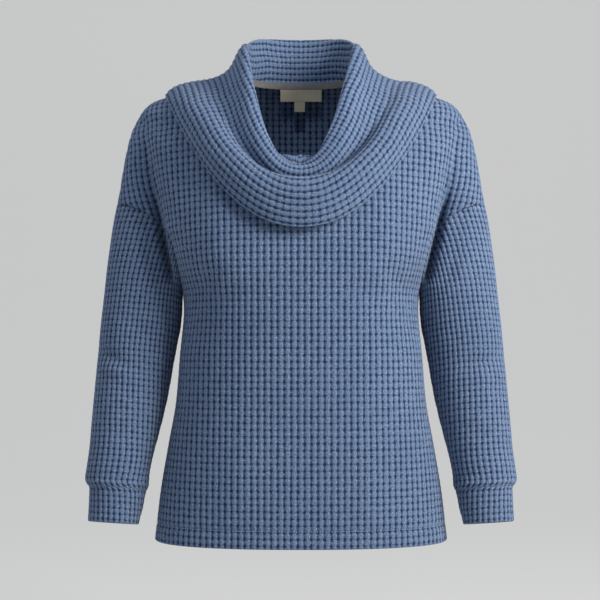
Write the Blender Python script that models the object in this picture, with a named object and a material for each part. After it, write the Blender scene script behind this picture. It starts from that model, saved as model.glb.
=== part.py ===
"""Women's cowl-neck waffle-knit sweater, worn and hollow, with nobody in it.

Metres, +Z up. The front faces -Y, and the wearer's left is at +X. The origin lies between the two high
shoulder points of the neck, where the wearer's shoulders carry the garment.

Each cloth piece is a loft between unlike sections. Its outer points come from the tables below, and its
inner points lie one wall inside them. Where two pieces meet, both rims are turned the same way, so that
a seam is an even gap.
"""
import math
from collections import namedtuple

import bmesh
import bpy
import numpy as np

GARMENT = "cowl_neck_sweater"

CLOTH = 0.0022            # one layer of waffle knit
SEAM = 0.0003             # gap between two pieces at a seam
NECK_SEAM = 0.0005        # the neck's rims twist at the shoulder points, so their gap is wider
HEM_WALL = 0.0046         # the hem is turned up and is two layers thick
HEM_STITCH = -0.659       # height of the hem's stitch line
HEM_GROOVE = 0.0007       # how far the stitches pull the cloth in
HEM_GROOVE_WIDTH = 0.002
CUFF_WALL = 0.0034        # the cuff band is doubled

NECK_HALF_WIDTH = 0.100
SHOULDER_POINT_Z = 0.006  # high shoulder point
ARM_HALF_WIDTH = 0.057    # half the width of the arm inside the yoke
BODY_ROUNDNESS = 2.3      # power of the torso's oval
CHEST_SQUARENESS = 1.2    # added to it across the yoke, where the front turns back sharply to the arm
BLEND = 8                 # power that blends torso and arm
ARMHOLE_PULL = 12         # power that draws a panel's last columns to the armhole
SEAM_SETBACK = 0.015      # side and shoulder seams lie this far behind the neck
SETBACK_X = (0.110, 0.180)    # the setback grows from the first of these to the second
SETBACK_Z = (-0.420, -0.330)
SQUARE_Z = (-0.330, -0.250, -0.110, -0.060)    # the yoke turns squarer over the first two, and back
ARM_Z = (-0.090, -0.020)      # the arm inside the yoke fades out towards the shoulder
ARMHOLE_ANGLE = 80            # the armhole's gap points this far down at the underarm, in degrees
UNDERARM_Z = -0.312

NECK_STEPS = 8            # columns from the centre line to the shoulder point
SIDE_SHARES = (0.0, 0.20, 0.39, 0.56, 0.70, 0.82, 0.92, 1.0)   # columns on from there, closer at the side
NECK_SHARES = [i / NECK_STEPS for i in range(NECK_STEPS + 1)]
SIDE_STEPS = len(SIDE_SHARES) - 1
NECK_PART = NECK_STEPS / (NECK_STEPS + SIDE_STEPS)
YOKE_ROWS = 10
NORMAL_STEPS = 3          # a panel's normals are read from a grid that is this much finer
LINE_STEPS = 400          # points on a line whose length is shared out
ROW_STEPS = 120           # points on each part of a panel's row, before its columns are cut
SHARP_ANGLE = math.radians(60)
TORSO_ROWS = (-0.685, -0.661, -0.657, -0.622, -0.580, -0.535, -0.490, -0.445, -0.400, -0.355, UNDERARM_Z)
SLEEVE_ROWS = (0, 1, 2, 3, 4, 4.6, 5.2, 5.8, 6.4, 7, 8, 9, 10, 11, 12)   # places along the sleeve's table

Side = namedtuple("Side", "height half_width")
SIDES = (                 # from the hem to the armpit, then the ridge where the front turns back to the arm
    Side(-0.685, 0.2180),
    Side(-0.610, 0.2085),
    Side(-0.540, 0.1965),
    Side(-0.480, 0.1860),
    Side(-0.412, 0.1805),
    Side(-0.346, 0.1755),
    Side(UNDERARM_Z, 0.1780),
    Side(-0.270, 0.1905),
    Side(-0.240, 0.1975),
    Side(-0.200, 0.2050),
    Side(-0.150, 0.2165),
    Side(-0.100, 0.2275),
    Side(-0.075, 0.2345),
    Side(-0.054, 0.2425),
)
Depth = namedtuple("Depth", "height front back")
DEPTHS = (
    Depth(-0.685, 0.120, 0.122),
    Depth(-0.610, 0.120, 0.118),
    Depth(-0.540, 0.120, 0.113),
    Depth(-0.480, 0.121, 0.108),
    Depth(-0.412, 0.123, 0.106),
    Depth(-0.346, 0.127, 0.108),
    Depth(-0.270, 0.128, 0.115),
    Depth(-0.200, 0.121, 0.117),
    Depth(-0.150, 0.108, 0.115),
    Depth(-0.100, 0.098, 0.108),
    Depth(-0.060, 0.084, 0.096),
    Depth(-0.038, 0.070, 0.084),
    Depth(-0.025, 0.060, 0.076),
    Depth(-0.012, 0.048, 0.062),
    Depth(0.000, 0.032, 0.044),
    Depth(0.006, 0.022, 0.030),
)

Outline = namedtuple("Outline", "height x")
SHOULDER = (              # shoulder seam, then the outside of the arm
    Outline(0.006, 0.1000),
    Outline(-0.003, 0.1280),
    Outline(-0.013, 0.1650),
    Outline(-0.0265, 0.2040),
    Outline(-0.034, 0.2235),
    Outline(-0.042, 0.2335),
    Outline(-0.054, 0.2425),
    Outline(-0.075, 0.2535),
    Outline(-0.099, 0.2605),
    Outline(-0.131, 0.2670),
    Outline(-0.172, 0.2735),
    Outline(-0.185, 0.2765),
    Outline(-0.237, 0.2855),
    Outline(-0.326, 0.2960),
)
SHOULDER_CORNER = -0.054  # above this the shoulder seam is the torso's own edge
DROP_POINT_Z = -0.185     # the shoulder seam ends here, on the upper arm

Neckline = namedtuple("Neckline", "lowest power")
NECKLINE = {-1: Neckline(-0.150, 4), 1: Neckline(-0.004, 3)}
ARM_DEPTH = {-1: 0.046, 1: 0.056}
BULGE_DROP = 0.3          # the bow fades faster on the underarm half of a ring

# Each sleeve ring is a tilted oval through an outer and an inner point. bulge bows it towards the neck.
SleeveRing = namedtuple("SleeveRing", "outer_x outer_z inner_x inner_z bulge front back middle_y tilt")
SLEEVE = (
    SleeveRing(0.2765, -0.1850, 0.1780, -0.3120, 0.036, 0.050, 0.056, 0.015, 0.00),
    SleeveRing(0.2825, -0.2150, 0.1795, -0.3300, 0.026, 0.053, 0.056, 0.016, 0.00),
    SleeveRing(0.2870, -0.2450, 0.1800, -0.3480, 0.016, 0.054, 0.057, 0.016, 0.00),
    SleeveRing(0.2915, -0.2800, 0.1820, -0.3700, 0.008, 0.055, 0.057, 0.015, 0.00),
    SleeveRing(0.2960, -0.3250, 0.1880, -0.4020, 0.003, 0.055, 0.056, 0.012, 0.00),
    SleeveRing(0.3005, -0.3690, 0.1940, -0.4370, 0.000, 0.054, 0.055, 0.008, 0.00),
    SleeveRing(0.3045, -0.4200, 0.2000, -0.4730, 0.000, 0.053, 0.053, 0.002, 0.00),
    SleeveRing(0.3085, -0.4700, 0.2075, -0.5080, 0.000, 0.051, 0.051, -0.006, 0.02),
    SleeveRing(0.3120, -0.5150, 0.2160, -0.5420, 0.000, 0.048, 0.048, -0.012, 0.04),
    SleeveRing(0.3145, -0.5500, 0.2230, -0.5700, 0.000, 0.046, 0.046, -0.017, 0.06),
    SleeveRing(0.3180, -0.5780, 0.2265, -0.5920, 0.000, 0.046, 0.046, -0.021, 0.09),
    SleeveRing(0.3200, -0.5940, 0.2270, -0.6040, 0.000, 0.046, 0.046, -0.024, 0.12),
    SleeveRing(0.3160, -0.6070, 0.2285, -0.6130, 0.000, 0.044, 0.044, -0.025, 0.15),
)
CUFF = (                  # below the sleeve's last ring
    SleeveRing(0.3135, -0.6115, 0.2305, -0.6155, 0.000, 0.0415, 0.0415, -0.0255, 0.15),
    SleeveRing(0.3140, -0.6350, 0.2355, -0.6390, 0.000, 0.0390, 0.0390, -0.0290, 0.15),
    SleeveRing(0.3150, -0.6577, 0.2410, -0.6626, 0.000, 0.0370, 0.0370, -0.0330, 0.15),
)

# Collar rings from the neck seam to the free edge: middle of the wall at front, side and back.
# The powers say how fast each ring climbs from its front or back to its side.
CollarRing = namedtuple(
    "CollarRing", "name steps front_y front_z side_x side_z back_y back_z front_power back_power lift")
COLLAR = (
    CollarRing("stand", 2, -0.103, -0.138, 0.092, 0.015, 0.054, 0.012, 4.0, 3.0, None),
    CollarRing("lip", 2, -0.100, -0.121, 0.086, 0.026, 0.058, 0.032, 4.0, 3.0, None),
    CollarRing("valley", 2, None, None, None, None, None, None, None, None, None),
    CollarRing("crest", 2, -0.114, -0.138, 0.080, 0.049, 0.072, 0.073, 2.4, 4.0, None),
    CollarRing("face", 2, -0.123, -0.147, 0.106, 0.017, 0.080, 0.055, 2.5, 3.0, 0.005),
    CollarRing("groove", 2, -0.119, -0.160, 0.1615, -0.003, 0.086, 0.035, 2.7, 2.5, 0.004),
    CollarRing("roll", 2, -0.134, -0.156, 0.172, -0.0055, 0.090, 0.015, 2.6, 2.5, 0.006),
    CollarRing("belly", 2, -0.149, -0.178, 0.186, -0.009, 0.093, -0.002, 2.4, 2.4, 0.008),
    CollarRing("under", 2, -0.146, -0.206, 0.197, -0.0145, 0.096, -0.018, 2.25, 2.2, 0.006),
    CollarRing("edge", 2, -0.131, -0.226, 0.204, -0.0225, 0.097, -0.036, 2.15, 2.0, 0.003),
)
SWAY = {"crest": -0.006, "valley": -0.003, "groove": -0.003}   # the front of a ring leans to one side
GROOVE_SKEW = 0.0065      # the groove lies further out on the wearer's left
GROOVE_DROP = -0.002      # and lower
VALLEY_FRONT = (0.0, -0.002, -0.0145)
VALLEY_WIDTH = math.radians(25)
REST_Z = 0.012            # below this height the collar rests on the body
REST_DEPTH = 0.004        # where the body is thinner than this, the collar meets its edge softly

# Soft folds: a trough of the given depth, a ridge where the depth is negative.
FOLD_TAPER = 1.6          # how fast a fold fades towards its ends
FOLD_MARGIN = 12          # power that keeps folds off a panel's seams
Fold = namedtuple("Fold", "node facing x z turn length width depth")
FOLDS = (
    Fold("sleeve_right", -1, -0.284, -0.412, -24, 0.046, 0.010, 0.0032),
    Fold("sleeve_right", -1, -0.268, -0.436, -14, 0.040, 0.009, -0.0020),
    Fold("sleeve_right", -1, -0.232, -0.262, -62, 0.060, 0.011, 0.0026),
    Fold("sleeve_right", -1, -0.272, -0.590, -4, 0.060, 0.007, 0.0026),
    Fold("sleeve_right", 1, -0.250, -0.400, 20, 0.060, 0.012, 0.0036),
    Fold("sleeve_right", 1, -0.262, -0.440, 12, 0.052, 0.010, 0.0028),
    Fold("sleeve_right", 1, -0.270, -0.588, 3, 0.055, 0.007, 0.0022),
    Fold("sleeve_left", -1, 0.262, -0.421, 14, 0.052, 0.010, 0.0034),
    Fold("sleeve_left", -1, 0.272, -0.446, 8, 0.046, 0.009, -0.0018),
    Fold("sleeve_left", -1, 0.238, -0.258, 64, 0.055, 0.010, 0.0024),
    Fold("sleeve_left", -1, 0.272, -0.588, 5, 0.060, 0.007, 0.0030),
    Fold("sleeve_left", 1, 0.248, -0.408, -18, 0.060, 0.012, 0.0034),
    Fold("sleeve_left", 1, 0.262, -0.452, -10, 0.050, 0.010, 0.0026),
    Fold("sleeve_left", 1, 0.268, -0.590, -4, 0.055, 0.007, 0.0024),
    Fold("front", -1, -0.135, -0.300, 52, 0.075, 0.014, 0.0026),
    Fold("front", -1, -0.118, -0.345, 64, 0.070, 0.014, 0.0018),
    Fold("front", -1, 0.138, -0.296, -54, 0.075, 0.014, 0.0026),
    Fold("front", -1, 0.112, -0.352, -66, 0.070, 0.014, 0.0016),
    Fold("front", -1, -0.090, -0.590, 84, 0.110, 0.024, -0.0022),
    Fold("front", -1, 0.096, -0.575, -84, 0.120, 0.024, -0.0024),
    Fold("back", 1, -0.120, -0.290, 58, 0.090, 0.018, 0.0040),
    Fold("back", 1, 0.124, -0.284, -58, 0.090, 0.018, 0.0036),
    Fold("back", 1, -0.060, -0.430, 8, 0.110, 0.016, 0.0030),
    Fold("back", 1, 0.052, -0.462, -9, 0.110, 0.016, 0.0028),
    Fold("back", 1, 0.010, -0.400, 3, 0.100, 0.016, 0.0024),
)

NECK_BACK_DEPTH = 0.050
TAPE_HEIGHT = 0.010
TAPE_BELOW_SEAM = 0.0015
TAPE_THICKNESS = 0.001
TAPE_ARC = (102, 258)     # degrees round the neck, 180 at the back
TAPE_RINGS = 6            # it lies on this many of the collar's rings
LABEL_SIZE = (0.063, 0.018)
TAB_SIZE = (0.016, 0.015)
TAB_SHIFT = -0.002        # the tab hangs a little to one side
LABEL_THICKNESS = 0.001
LABEL_LEAN = 0.10         # how far back it leans for its height
LABEL_STEPS = 6

KNIT_BLUE = (0.118, 0.172, 0.275, 1)
TAPE_GREY = (0.150, 0.155, 0.165, 1)
LABEL_BEIGE = (0.230, 0.210, 0.165, 1)


def ease(value):
    """Smooth step from 0 to 1."""
    value = np.clip(value, 0.0, 1.0)
    return value * value * (3 - 2 * value)


def rise_over(span, value):
    """0 before a span, 1 past it."""
    return ease((np.asarray(value) - span[0]) / (span[1] - span[0]))


def through(places, values, at):
    """Monotone cubic curve through a short table."""
    order = np.argsort(places)
    places, values = np.asarray(places, float)[order], np.asarray(values, float)[order]
    steps = np.diff(places)
    slopes = np.diff(values) / steps
    bends = np.zeros(len(values))
    for i in range(1, len(values) - 1):
        if slopes[i - 1] * slopes[i] > 0:
            before, after = 2 * steps[i] + steps[i - 1], steps[i] + 2 * steps[i - 1]
            bends[i] = (before + after) / (before / slopes[i - 1] + after / slopes[i])
    bends[0], bends[-1] = slopes[0], slopes[-1]
    at = np.clip(at, places[0], places[-1])
    cell = np.clip(np.searchsorted(places, at, side="right") - 1, 0, len(steps) - 1)
    step = steps[cell]
    s = (at - places[cell]) / step
    return ((1 + 2 * s) * (1 - s) ** 2 * values[cell] + s * (1 - s) ** 2 * step * bends[cell]
            + s * s * (3 - 2 * s) * values[cell + 1] + s * s * (s - 1) * step * bends[cell + 1])


def column(table, name):
    return [getattr(row, name) for row in table]


def unit(vectors):
    vectors = np.asarray(vectors, float)
    return vectors / np.maximum(np.linalg.norm(vectors, axis=-1, keepdims=True), 1e-12)


def outline_x(z):
    """The shoulder's and the outer arm's distance from the centre line."""
    return through(column(SHOULDER, "height"), column(SHOULDER, "x"), z)


def torso_half_width(z):
    width = through(column(SIDES, "height"), column(SIDES, "half_width"), z)
    return np.where(np.asarray(z) > SHOULDER_CORNER, outline_x(z), width)


def torso_depth(facing, z):
    return through(column(DEPTHS, "height"), column(DEPTHS, "front" if facing < 0 else "back"), z)


def torso_roundness(facing, z):
    """Power of the torso's oval: squarer where the front of the yoke turns back to the arm."""
    yoke = rise_over(SQUARE_Z[:2], z) * (1 - rise_over(SQUARE_Z[2:], z))
    return BODY_ROUNDNESS + (CHEST_SQUARENESS * yoke if facing < 0 else 0.0)


def seam_y(x, z):
    """Side and shoulder seams run behind the neck, and come forward again at the waist."""
    return SEAM_SETBACK * rise_over(SETBACK_X, np.abs(x)) * rise_over(SETBACK_Z, z)


def body_depth(facing, x, z):
    """How far the body's outer face stands from its seams."""
    across = np.clip(np.abs(x) / torso_half_width(z), 0.0, 1.0)
    power = torso_roundness(facing, z)
    torso = torso_depth(facing, z) * (1 - across ** power) ** (1 / power)
    from_arm = np.clip((np.abs(x) - outline_x(z) + ARM_HALF_WIDTH) / ARM_HALF_WIDTH, -1.0, 1.0)
    arm = ARM_DEPTH[facing] * (1 - rise_over(ARM_Z, z)) * np.sqrt(1 - from_arm ** 2)
    arm = np.where(np.asarray(z) < UNDERARM_Z, 0.0, arm)
    return (torso ** BLEND + arm ** BLEND) ** (1 / BLEND)


def ring_point(ring, turn):
    """A point of a sleeve ring: turn 0 is its outer point, 90 degrees its front, 180 its inner point."""
    half = np.array([ring.outer_x - ring.inner_x, ring.outer_z - ring.inner_z]) / 2
    side = np.array([-half[1], half[0]]) / np.linalg.norm(half)
    depth = ring.front if math.sin(turn) > 0 else ring.back
    bow = ring.bulge * math.sin(turn) ** 2 * (1 + BULGE_DROP * min(math.cos(turn), 0))
    x = (ring.outer_x + ring.inner_x) / 2 + half[0] * math.cos(turn) + side[0] * bow
    z = (ring.outer_z + ring.inner_z) / 2 + half[1] * math.cos(turn) + side[1] * bow
    y = ring.middle_y - depth * math.sin(turn)
    return np.array([x, y, z + ring.tilt * depth * math.sin(turn)])


def armhole_normal(facing, turn, below):
    """Which way both rims of the armhole seam face. below is +1 for the body and -1 for the sleeve."""
    cosine = math.cos(turn)
    across = (0.98, 0.16) if cosine > 0 else (-0.7 * below, 0.7)
    return unit([cosine * across[0], facing * abs(math.sin(turn)), cosine * across[1]])


def neck_point(facing, turn):
    """A point of the neckline, from the centre line at 0 to the high shoulder point at 90 degrees."""
    line = NECKLINE[facing]
    x = NECK_HALF_WIDTH * math.sin(turn)
    z = line.lowest + (SHOULDER_POINT_Z - line.lowest) * math.sin(turn) ** line.power
    return x, z


def cut_at(points, shares):
    """Fractions of a fine line's points that lie at the given shares of its length."""
    lengths = np.concatenate([[0], np.cumsum(np.linalg.norm(np.diff(points, axis=0), axis=1))])
    return np.interp(np.asarray(shares) * lengths[-1], lengths, np.linspace(0, 1, len(points)))


def body_point(facing, x, z):
    return np.stack([x, seam_y(x, z) + facing * (body_depth(facing, x, z) + SEAM / 2), z], axis=-1)


def neck_turns(facing):
    """Turns that share the neckline out evenly between the panel's columns."""
    fine = np.linspace(0, math.pi / 2, LINE_STEPS)
    line = np.array([neck_point(facing, turn) for turn in fine])
    return cut_at(body_point(facing, line[:, 0], line[:, 1]), NECK_SHARES) * math.pi / 2


def yoke_row(facing, rise, fine):
    """Half a row of the yoke, in x and z: a patch between the underarm row, neckline, centre and armhole."""
    half_width = torso_half_width(UNDERARM_Z)
    lowest = NECKLINE[facing].lowest
    seam_z = np.linspace(SHOULDER_POINT_Z, DROP_POINT_Z, LINE_STEPS)
    seam = np.stack([outline_x(seam_z), seam_z], axis=1)
    lengths = np.concatenate([[0], np.cumsum(np.linalg.norm(np.diff(seam, axis=0), axis=1))])
    row = []
    arm = ring_point(SLEEVE[0], math.pi * (1 - rise))[[0, 2]]
    centre = np.array([0, UNDERARM_Z + (lowest - UNDERARM_Z) * rise])
    corners = [np.array([0, UNDERARM_Z]), np.array([half_width, UNDERARM_Z]),
               np.array([0, lowest]), np.array([SLEEVE[0].outer_x, DROP_POINT_Z])]
    for t in fine:
        bottom = np.array([half_width * math.sin(math.pi / 2 * t), UNDERARM_Z])
        if t <= NECK_PART:
            top = np.array(neck_point(facing, math.pi / 2 * t / NECK_PART))
        else:
            at = (t - NECK_PART) / (1 - NECK_PART) * lengths[-1]
            top = np.array([np.interp(at, lengths, seam[:, 0]), np.interp(at, lengths, seam[:, 1])])
        point = (1 - rise) * bottom + rise * top + (1 - t) * centre + t * arm
        point -= (1 - t) * ((1 - rise) * corners[0] + rise * corners[2])
        point -= t * ((1 - rise) * corners[1] + rise * corners[3])
        row.append(point)
    return np.array(row)


def share_out(points, shares):
    """Keep the columns of a fine row: some up to the shoulder point, then some on to the side."""
    middle = len(points) // 2
    places = np.linspace(0, 1, middle + 1)
    kept = []
    for part, cuts in ((points[:middle + 1], shares[0]), (points[middle:], shares[1])):
        kept += [[np.interp(at, places, part[:, i]) for i in range(3)] for at in cut_at(part, cuts)]
    del kept[len(shares[0])]
    return kept


def half_panel(facing, torso_rows, rises, shares):
    """Outer points of a body panel from the centre line to its side, rows from the hem up."""
    to_neck = np.linspace(0, NECK_PART, ROW_STEPS + 1)
    fine = np.concatenate([to_neck, np.linspace(NECK_PART, 1, ROW_STEPS + 1)[1:]])
    rows = []
    for z in torso_rows:
        x = torso_half_width(z) * np.sin(math.pi / 2 * fine)
        rows.append(share_out(body_point(facing, x, np.full_like(x, z)), shares))
    for rise in rises:
        row = yoke_row(facing, rise, fine)
        points = body_point(facing, row[:, 0], row[:, 1])
        arm = ring_point(SLEEVE[0], -facing * math.pi * (1 - rise))
        arm_y = arm[1] if 0 < rise < 1 else arm[1] + facing * SEAM / 2
        points[:, 1] += (arm_y - points[-1, 1]) * fine ** ARMHOLE_PULL
        rows.append(share_out(points, shares))
    return np.array(rows)


def between(places, count):
    """A list of places with each step cut into count smaller ones."""
    ends = range(len(places) - 1)
    fine = [places[i] + (places[i + 1] - places[i]) * k / count for i in ends for k in range(count)]
    return fine + [places[-1]]


def whole(half):
    """Both halves of a body panel from the half on the wearer's left."""
    return np.concatenate([half[:, :0:-1] * [-1, 1, 1], half], axis=1)


def grid_normals(points, closed, outward):
    """Normals of a grid of points, turned so that they agree with outward where it is given."""
    if closed:
        along = np.roll(points, -1, axis=1) - np.roll(points, 1, axis=1)
    else:
        along = np.gradient(points, axis=1)
    normals = unit(np.cross(along, np.gradient(points, axis=0)))
    return normals * outward


def fold_shift(node, facing, points):
    """How far each point is moved in by the folds of its piece."""
    shift = np.zeros(points.shape[:-1])
    for fold in FOLDS:
        if fold.node != node:
            continue
        turn = math.radians(fold.turn)
        dx, dz = points[..., 0] - fold.x, points[..., 2] - fold.z
        along = dx * math.cos(turn) + dz * math.sin(turn)
        across = dz * math.cos(turn) - dx * math.sin(turn)
        shape = np.exp(-(along / fold.length * FOLD_TAPER) ** 2 - (across / fold.width) ** 2)
        shift += np.where(facing * fold.facing > 0, fold.depth * shape, 0.0)
    return shift


def panel_grids(node, facing):
    """Outer and inner points of a whole body panel."""
    rises = [step / YOKE_ROWS for step in range(YOKE_ROWS + 1)]
    outer = whole(half_panel(facing, TORSO_ROWS[:-1], rises, (NECK_SHARES, SIDE_SHARES)))
    fine_rows = between(TORSO_ROWS, NORMAL_STEPS)[:-1], between(rises, NORMAL_STEPS)
    fine_shares = between(NECK_SHARES, NORMAL_STEPS), between(SIDE_SHARES, NORMAL_STEPS)
    fine = whole(half_panel(facing, *fine_rows, fine_shares))
    normals = grid_normals(fine, False, -facing)[::NORMAL_STEPS, ::NORMAL_STEPS]
    torso = len(TORSO_ROWS) - 1
    for side, last in ((-1, 0), (1, -1)):
        normals[:torso, last] = unit(normals[:torso, last] * [1, 0, 0])
        for step in range(YOKE_ROWS + 1):
            normal = armhole_normal(facing, math.pi * (1 - step / YOKE_ROWS), 1)
            normals[torso + step, last] = normal * [side, 1, 1]
        for i in range(SIDE_STEPS + 1):
            at = i if side < 0 else -1 - i
            normals[-1, at] = unit(normals[-1, at] * [1, 0, 1])
    normals[0] = unit(normals[0] * [1, 1, 0])
    edge = 1 - np.abs(np.linspace(-1, 1, outer.shape[1])) ** FOLD_MARGIN
    shift = fold_shift(node, facing, outer) * edge
    shift += HEM_GROOVE * np.exp(-((outer[..., 2] - HEM_STITCH) / HEM_GROOVE_WIDTH) ** 2)
    outer = outer - normals * shift[..., None]
    wall = np.where(outer[..., 2] < HEM_STITCH, HEM_WALL, CLOTH)
    return outer, outer - normals * wall[..., None]


def sleeve_ring(place):
    """A ring between the rows of the sleeve's table."""
    places = range(len(SLEEVE))
    return SleeveRing(*[float(through(places, column(SLEEVE, name), place)) for name in SleeveRing._fields])


def sleeve_turns():
    return [math.pi * i / YOKE_ROWS for i in range(2 * YOKE_ROWS)]


def armhole_gap(turn):
    """The sleeve's first ring lies one seam away from the body's armhole."""
    height = math.radians(-ARMHOLE_ANGLE) * (1 + math.cos(turn)) / 2
    return SEAM * np.array([math.cos(height), 0, math.sin(height)])


def sleeve_grids(side, node):
    """Outer and inner points of a sleeve, rings from the armhole down."""
    turns = sleeve_turns()
    rings = [sleeve_ring(place) for place in SLEEVE_ROWS]
    outer = np.array([[ring_point(ring, turn) for turn in turns] for ring in rings])
    normals = grid_normals(outer, True, 1)
    middle = outer.mean(axis=1, keepdims=True)
    if np.sum(normals * (outer - middle)) < 0:
        normals = -normals
    outer[0] += [armhole_gap(turn) for turn in turns]
    normals[0] = [armhole_normal(-1 if math.sin(turn) > 0 else 1, turn, -1) for turn in turns]
    normals[-1] = unit((outer[-1] - middle[-1]) * [1, 1, 0])
    outer, normals = outer * [side, 1, 1], normals * [side, 1, 1]
    places = np.array(SLEEVE_ROWS)
    fade = ease(np.minimum(places / 2, places[-1] - places))
    facing = np.where(np.sin(turns) > 1e-6, -1, np.where(np.sin(turns) < -1e-6, 1, 0))
    shift = fold_shift(node, facing[None, :], outer) * np.abs(np.sin(turns)) * fade[:, None]
    outer = outer - normals * shift[..., None]
    return outer, outer - normals * CLOTH


def cuff_grids(side):
    """Outer and inner points of a cuff band. Its first ring meets the sleeve's last one."""
    turns = sleeve_turns()
    rings = [[ring_point(SLEEVE[-1], turn) - [0, 0, SEAM] for turn in turns]]
    rings += [[ring_point(ring, turn) for turn in turns] for ring in CUFF]
    outer = np.array(rings)
    middle = outer.mean(axis=1, keepdims=True)
    normals = unit((outer - middle) * [1, 1, 0])
    wall = np.array([CLOTH] + [CUFF_WALL] * len(CUFF))[:, None, None]
    outer, normals = outer * [side, 1, 1], normals * [side, 1, 1]
    return outer, outer - normals * wall


def collar_turns():
    """Turns round the neck: each column of the neckline and its middles, for the wearer's left half."""
    front, back = neck_turns(-1), math.pi - neck_turns(1)[::-1]
    columns = np.concatenate([front, back[1:]])
    middles = (columns[1:] + columns[:-1]) / 2
    turns = np.empty(len(columns) + len(middles))
    turns[0::2], turns[1::2] = columns, middles
    return turns


def around(half, mirror):
    """A whole ring from its half, without repeating the front and back points."""
    return np.concatenate([half, half[-2:0:-1] * mirror], axis=0)


def neck_rim(front, back):
    """The neckline as one ring of outer and inner points, with the midpoint of each step."""
    centre = NECK_STEPS + SIDE_STEPS
    rims = []
    for layer in (0, 1):
        first = front[layer][-1, centre:centre + NECK_STEPS + 1]
        last = back[layer][-1, centre:centre + NECK_STEPS + 1][::-1]
        shoulder = (first[-1] + last[0]) / 2
        half = np.concatenate([first[:-1], [shoulder], last[1:]])
        dense = np.empty((2 * len(half) - 1, 3))
        dense[0::2], dense[1::2] = half, (half[1:] + half[:-1]) / 2
        rims.append(around(dense, [-1, 1, 1]))
    return rims


def collar_ring(ring, turns):
    """One ring of the collar by its law, pushed clear of the body where it lies on it."""
    sine, cosine = np.sin(turns), np.cos(turns)
    front = cosine > 0
    skew = GROOVE_SKEW if ring.name == "groove" else 0.0
    x = (ring.side_x + skew * sine) * sine + SWAY.get(ring.name, 0.0) * np.maximum(cosine, 0)
    end_z = np.where(front, ring.front_z, ring.back_z)
    power = np.where(front, ring.front_power, ring.back_power)
    side_z = ring.side_z + (GROOVE_DROP * sine if ring.name == "groove" else 0.0)
    z = end_z + (side_z - end_z) * np.abs(sine) ** power
    side_y = 0.0 if ring.lift is None else float(seam_y(ring.side_x, ring.side_z))
    end_y = np.where(front, ring.front_y, ring.back_y)
    y = side_y + (end_y - side_y) * np.abs(cosine)
    if ring.lift is not None:
        for facing, here in ((-1, front), (1, ~front)):
            seam = seam_y(x, z)
            depth = body_depth(facing, x, np.minimum(z, SHOULDER_POINT_Z))
            depth = (depth + ring.lift) * ease(1 - z / REST_Z) * ease(depth / REST_DEPTH)
            apart = np.maximum(facing * (y - seam), 0)
            pushed = seam + facing * (apart ** BLEND + depth ** BLEND) ** (1 / BLEND)
            y = np.where(here & (depth > 0), pushed, y)
    return np.stack([x, y, z], axis=1)


def spline(knots, places, at):
    """Natural cubic curve through rows of points."""
    gaps = np.diff(places)
    count = len(places)
    system, right = np.eye(count), np.zeros((count,) + knots.shape[1:])
    for i in range(1, count - 1):
        system[i, i - 1:i + 2] = gaps[i - 1], 2 * (gaps[i - 1] + gaps[i]), gaps[i]
        right[i] = 6 * ((knots[i + 1] - knots[i]) / gaps[i] - (knots[i] - knots[i - 1]) / gaps[i - 1])
    curve = np.linalg.solve(system, right)
    points = []
    for place in at:
        i = min(np.searchsorted(places, place, side="right") - 1, count - 2)
        gap, b, a = gaps[i], place - places[i], places[i + 1] - place
        point = (a ** 3 * curve[i] + b ** 3 * curve[i + 1]) / (6 * gap)
        point = point + (knots[i] / gap - curve[i] * gap / 6) * a
        points.append(point + (knots[i + 1] / gap - curve[i + 1] * gap / 6) * b)
    return np.array(points)


def collar_grids(front, back):
    """Outer and inner points of the collar, rings from the neck seam to the free edge."""
    half = collar_turns()
    turns = np.concatenate([half, 2 * math.pi - half[-2:0:-1]])
    rim_outer, rim_inner = neck_rim(front, back)
    rim_normal = unit(rim_outer - rim_inner)
    run = np.roll(rim_outer, -1, axis=0) - np.roll(rim_outer, 1, axis=0)
    away = unit(np.cross(rim_normal, run))
    away *= np.sign(away[0, 2])
    base = (rim_outer + rim_inner) / 2 + away * NECK_SEAM
    rings = {ring.name: collar_ring(ring, turns) for ring in COLLAR if ring.front_y is not None}
    close = np.exp(-(np.minimum(turns, 2 * math.pi - turns) / VALLEY_WIDTH) ** 4)
    rings["valley"] = (rings["lip"] + rings["crest"]) / 2 + close[:, None] * VALLEY_FRONT
    knots = np.array([base] + [rings[ring.name] for ring in COLLAR])
    rows = []
    for i in range(knots.shape[1]):
        line = knots[:, i]
        places = np.concatenate([[0], np.cumsum(np.sqrt(np.linalg.norm(np.diff(line, axis=0), axis=1)))])
        at = [places[0]]
        for k, ring in enumerate(COLLAR):
            at += list(np.linspace(places[k], places[k + 1], ring.steps + 1)[1:])
        rows.append(spline(line, places, at))
    middle = np.array(rows).transpose(1, 0, 2)
    normals = grid_normals(middle, True, 1)
    if normals[0, 0, 1] > 0:
        normals = -normals
    normals[0] = rim_normal
    return middle + normals * CLOTH / 2, middle - normals * CLOTH / 2


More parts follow.
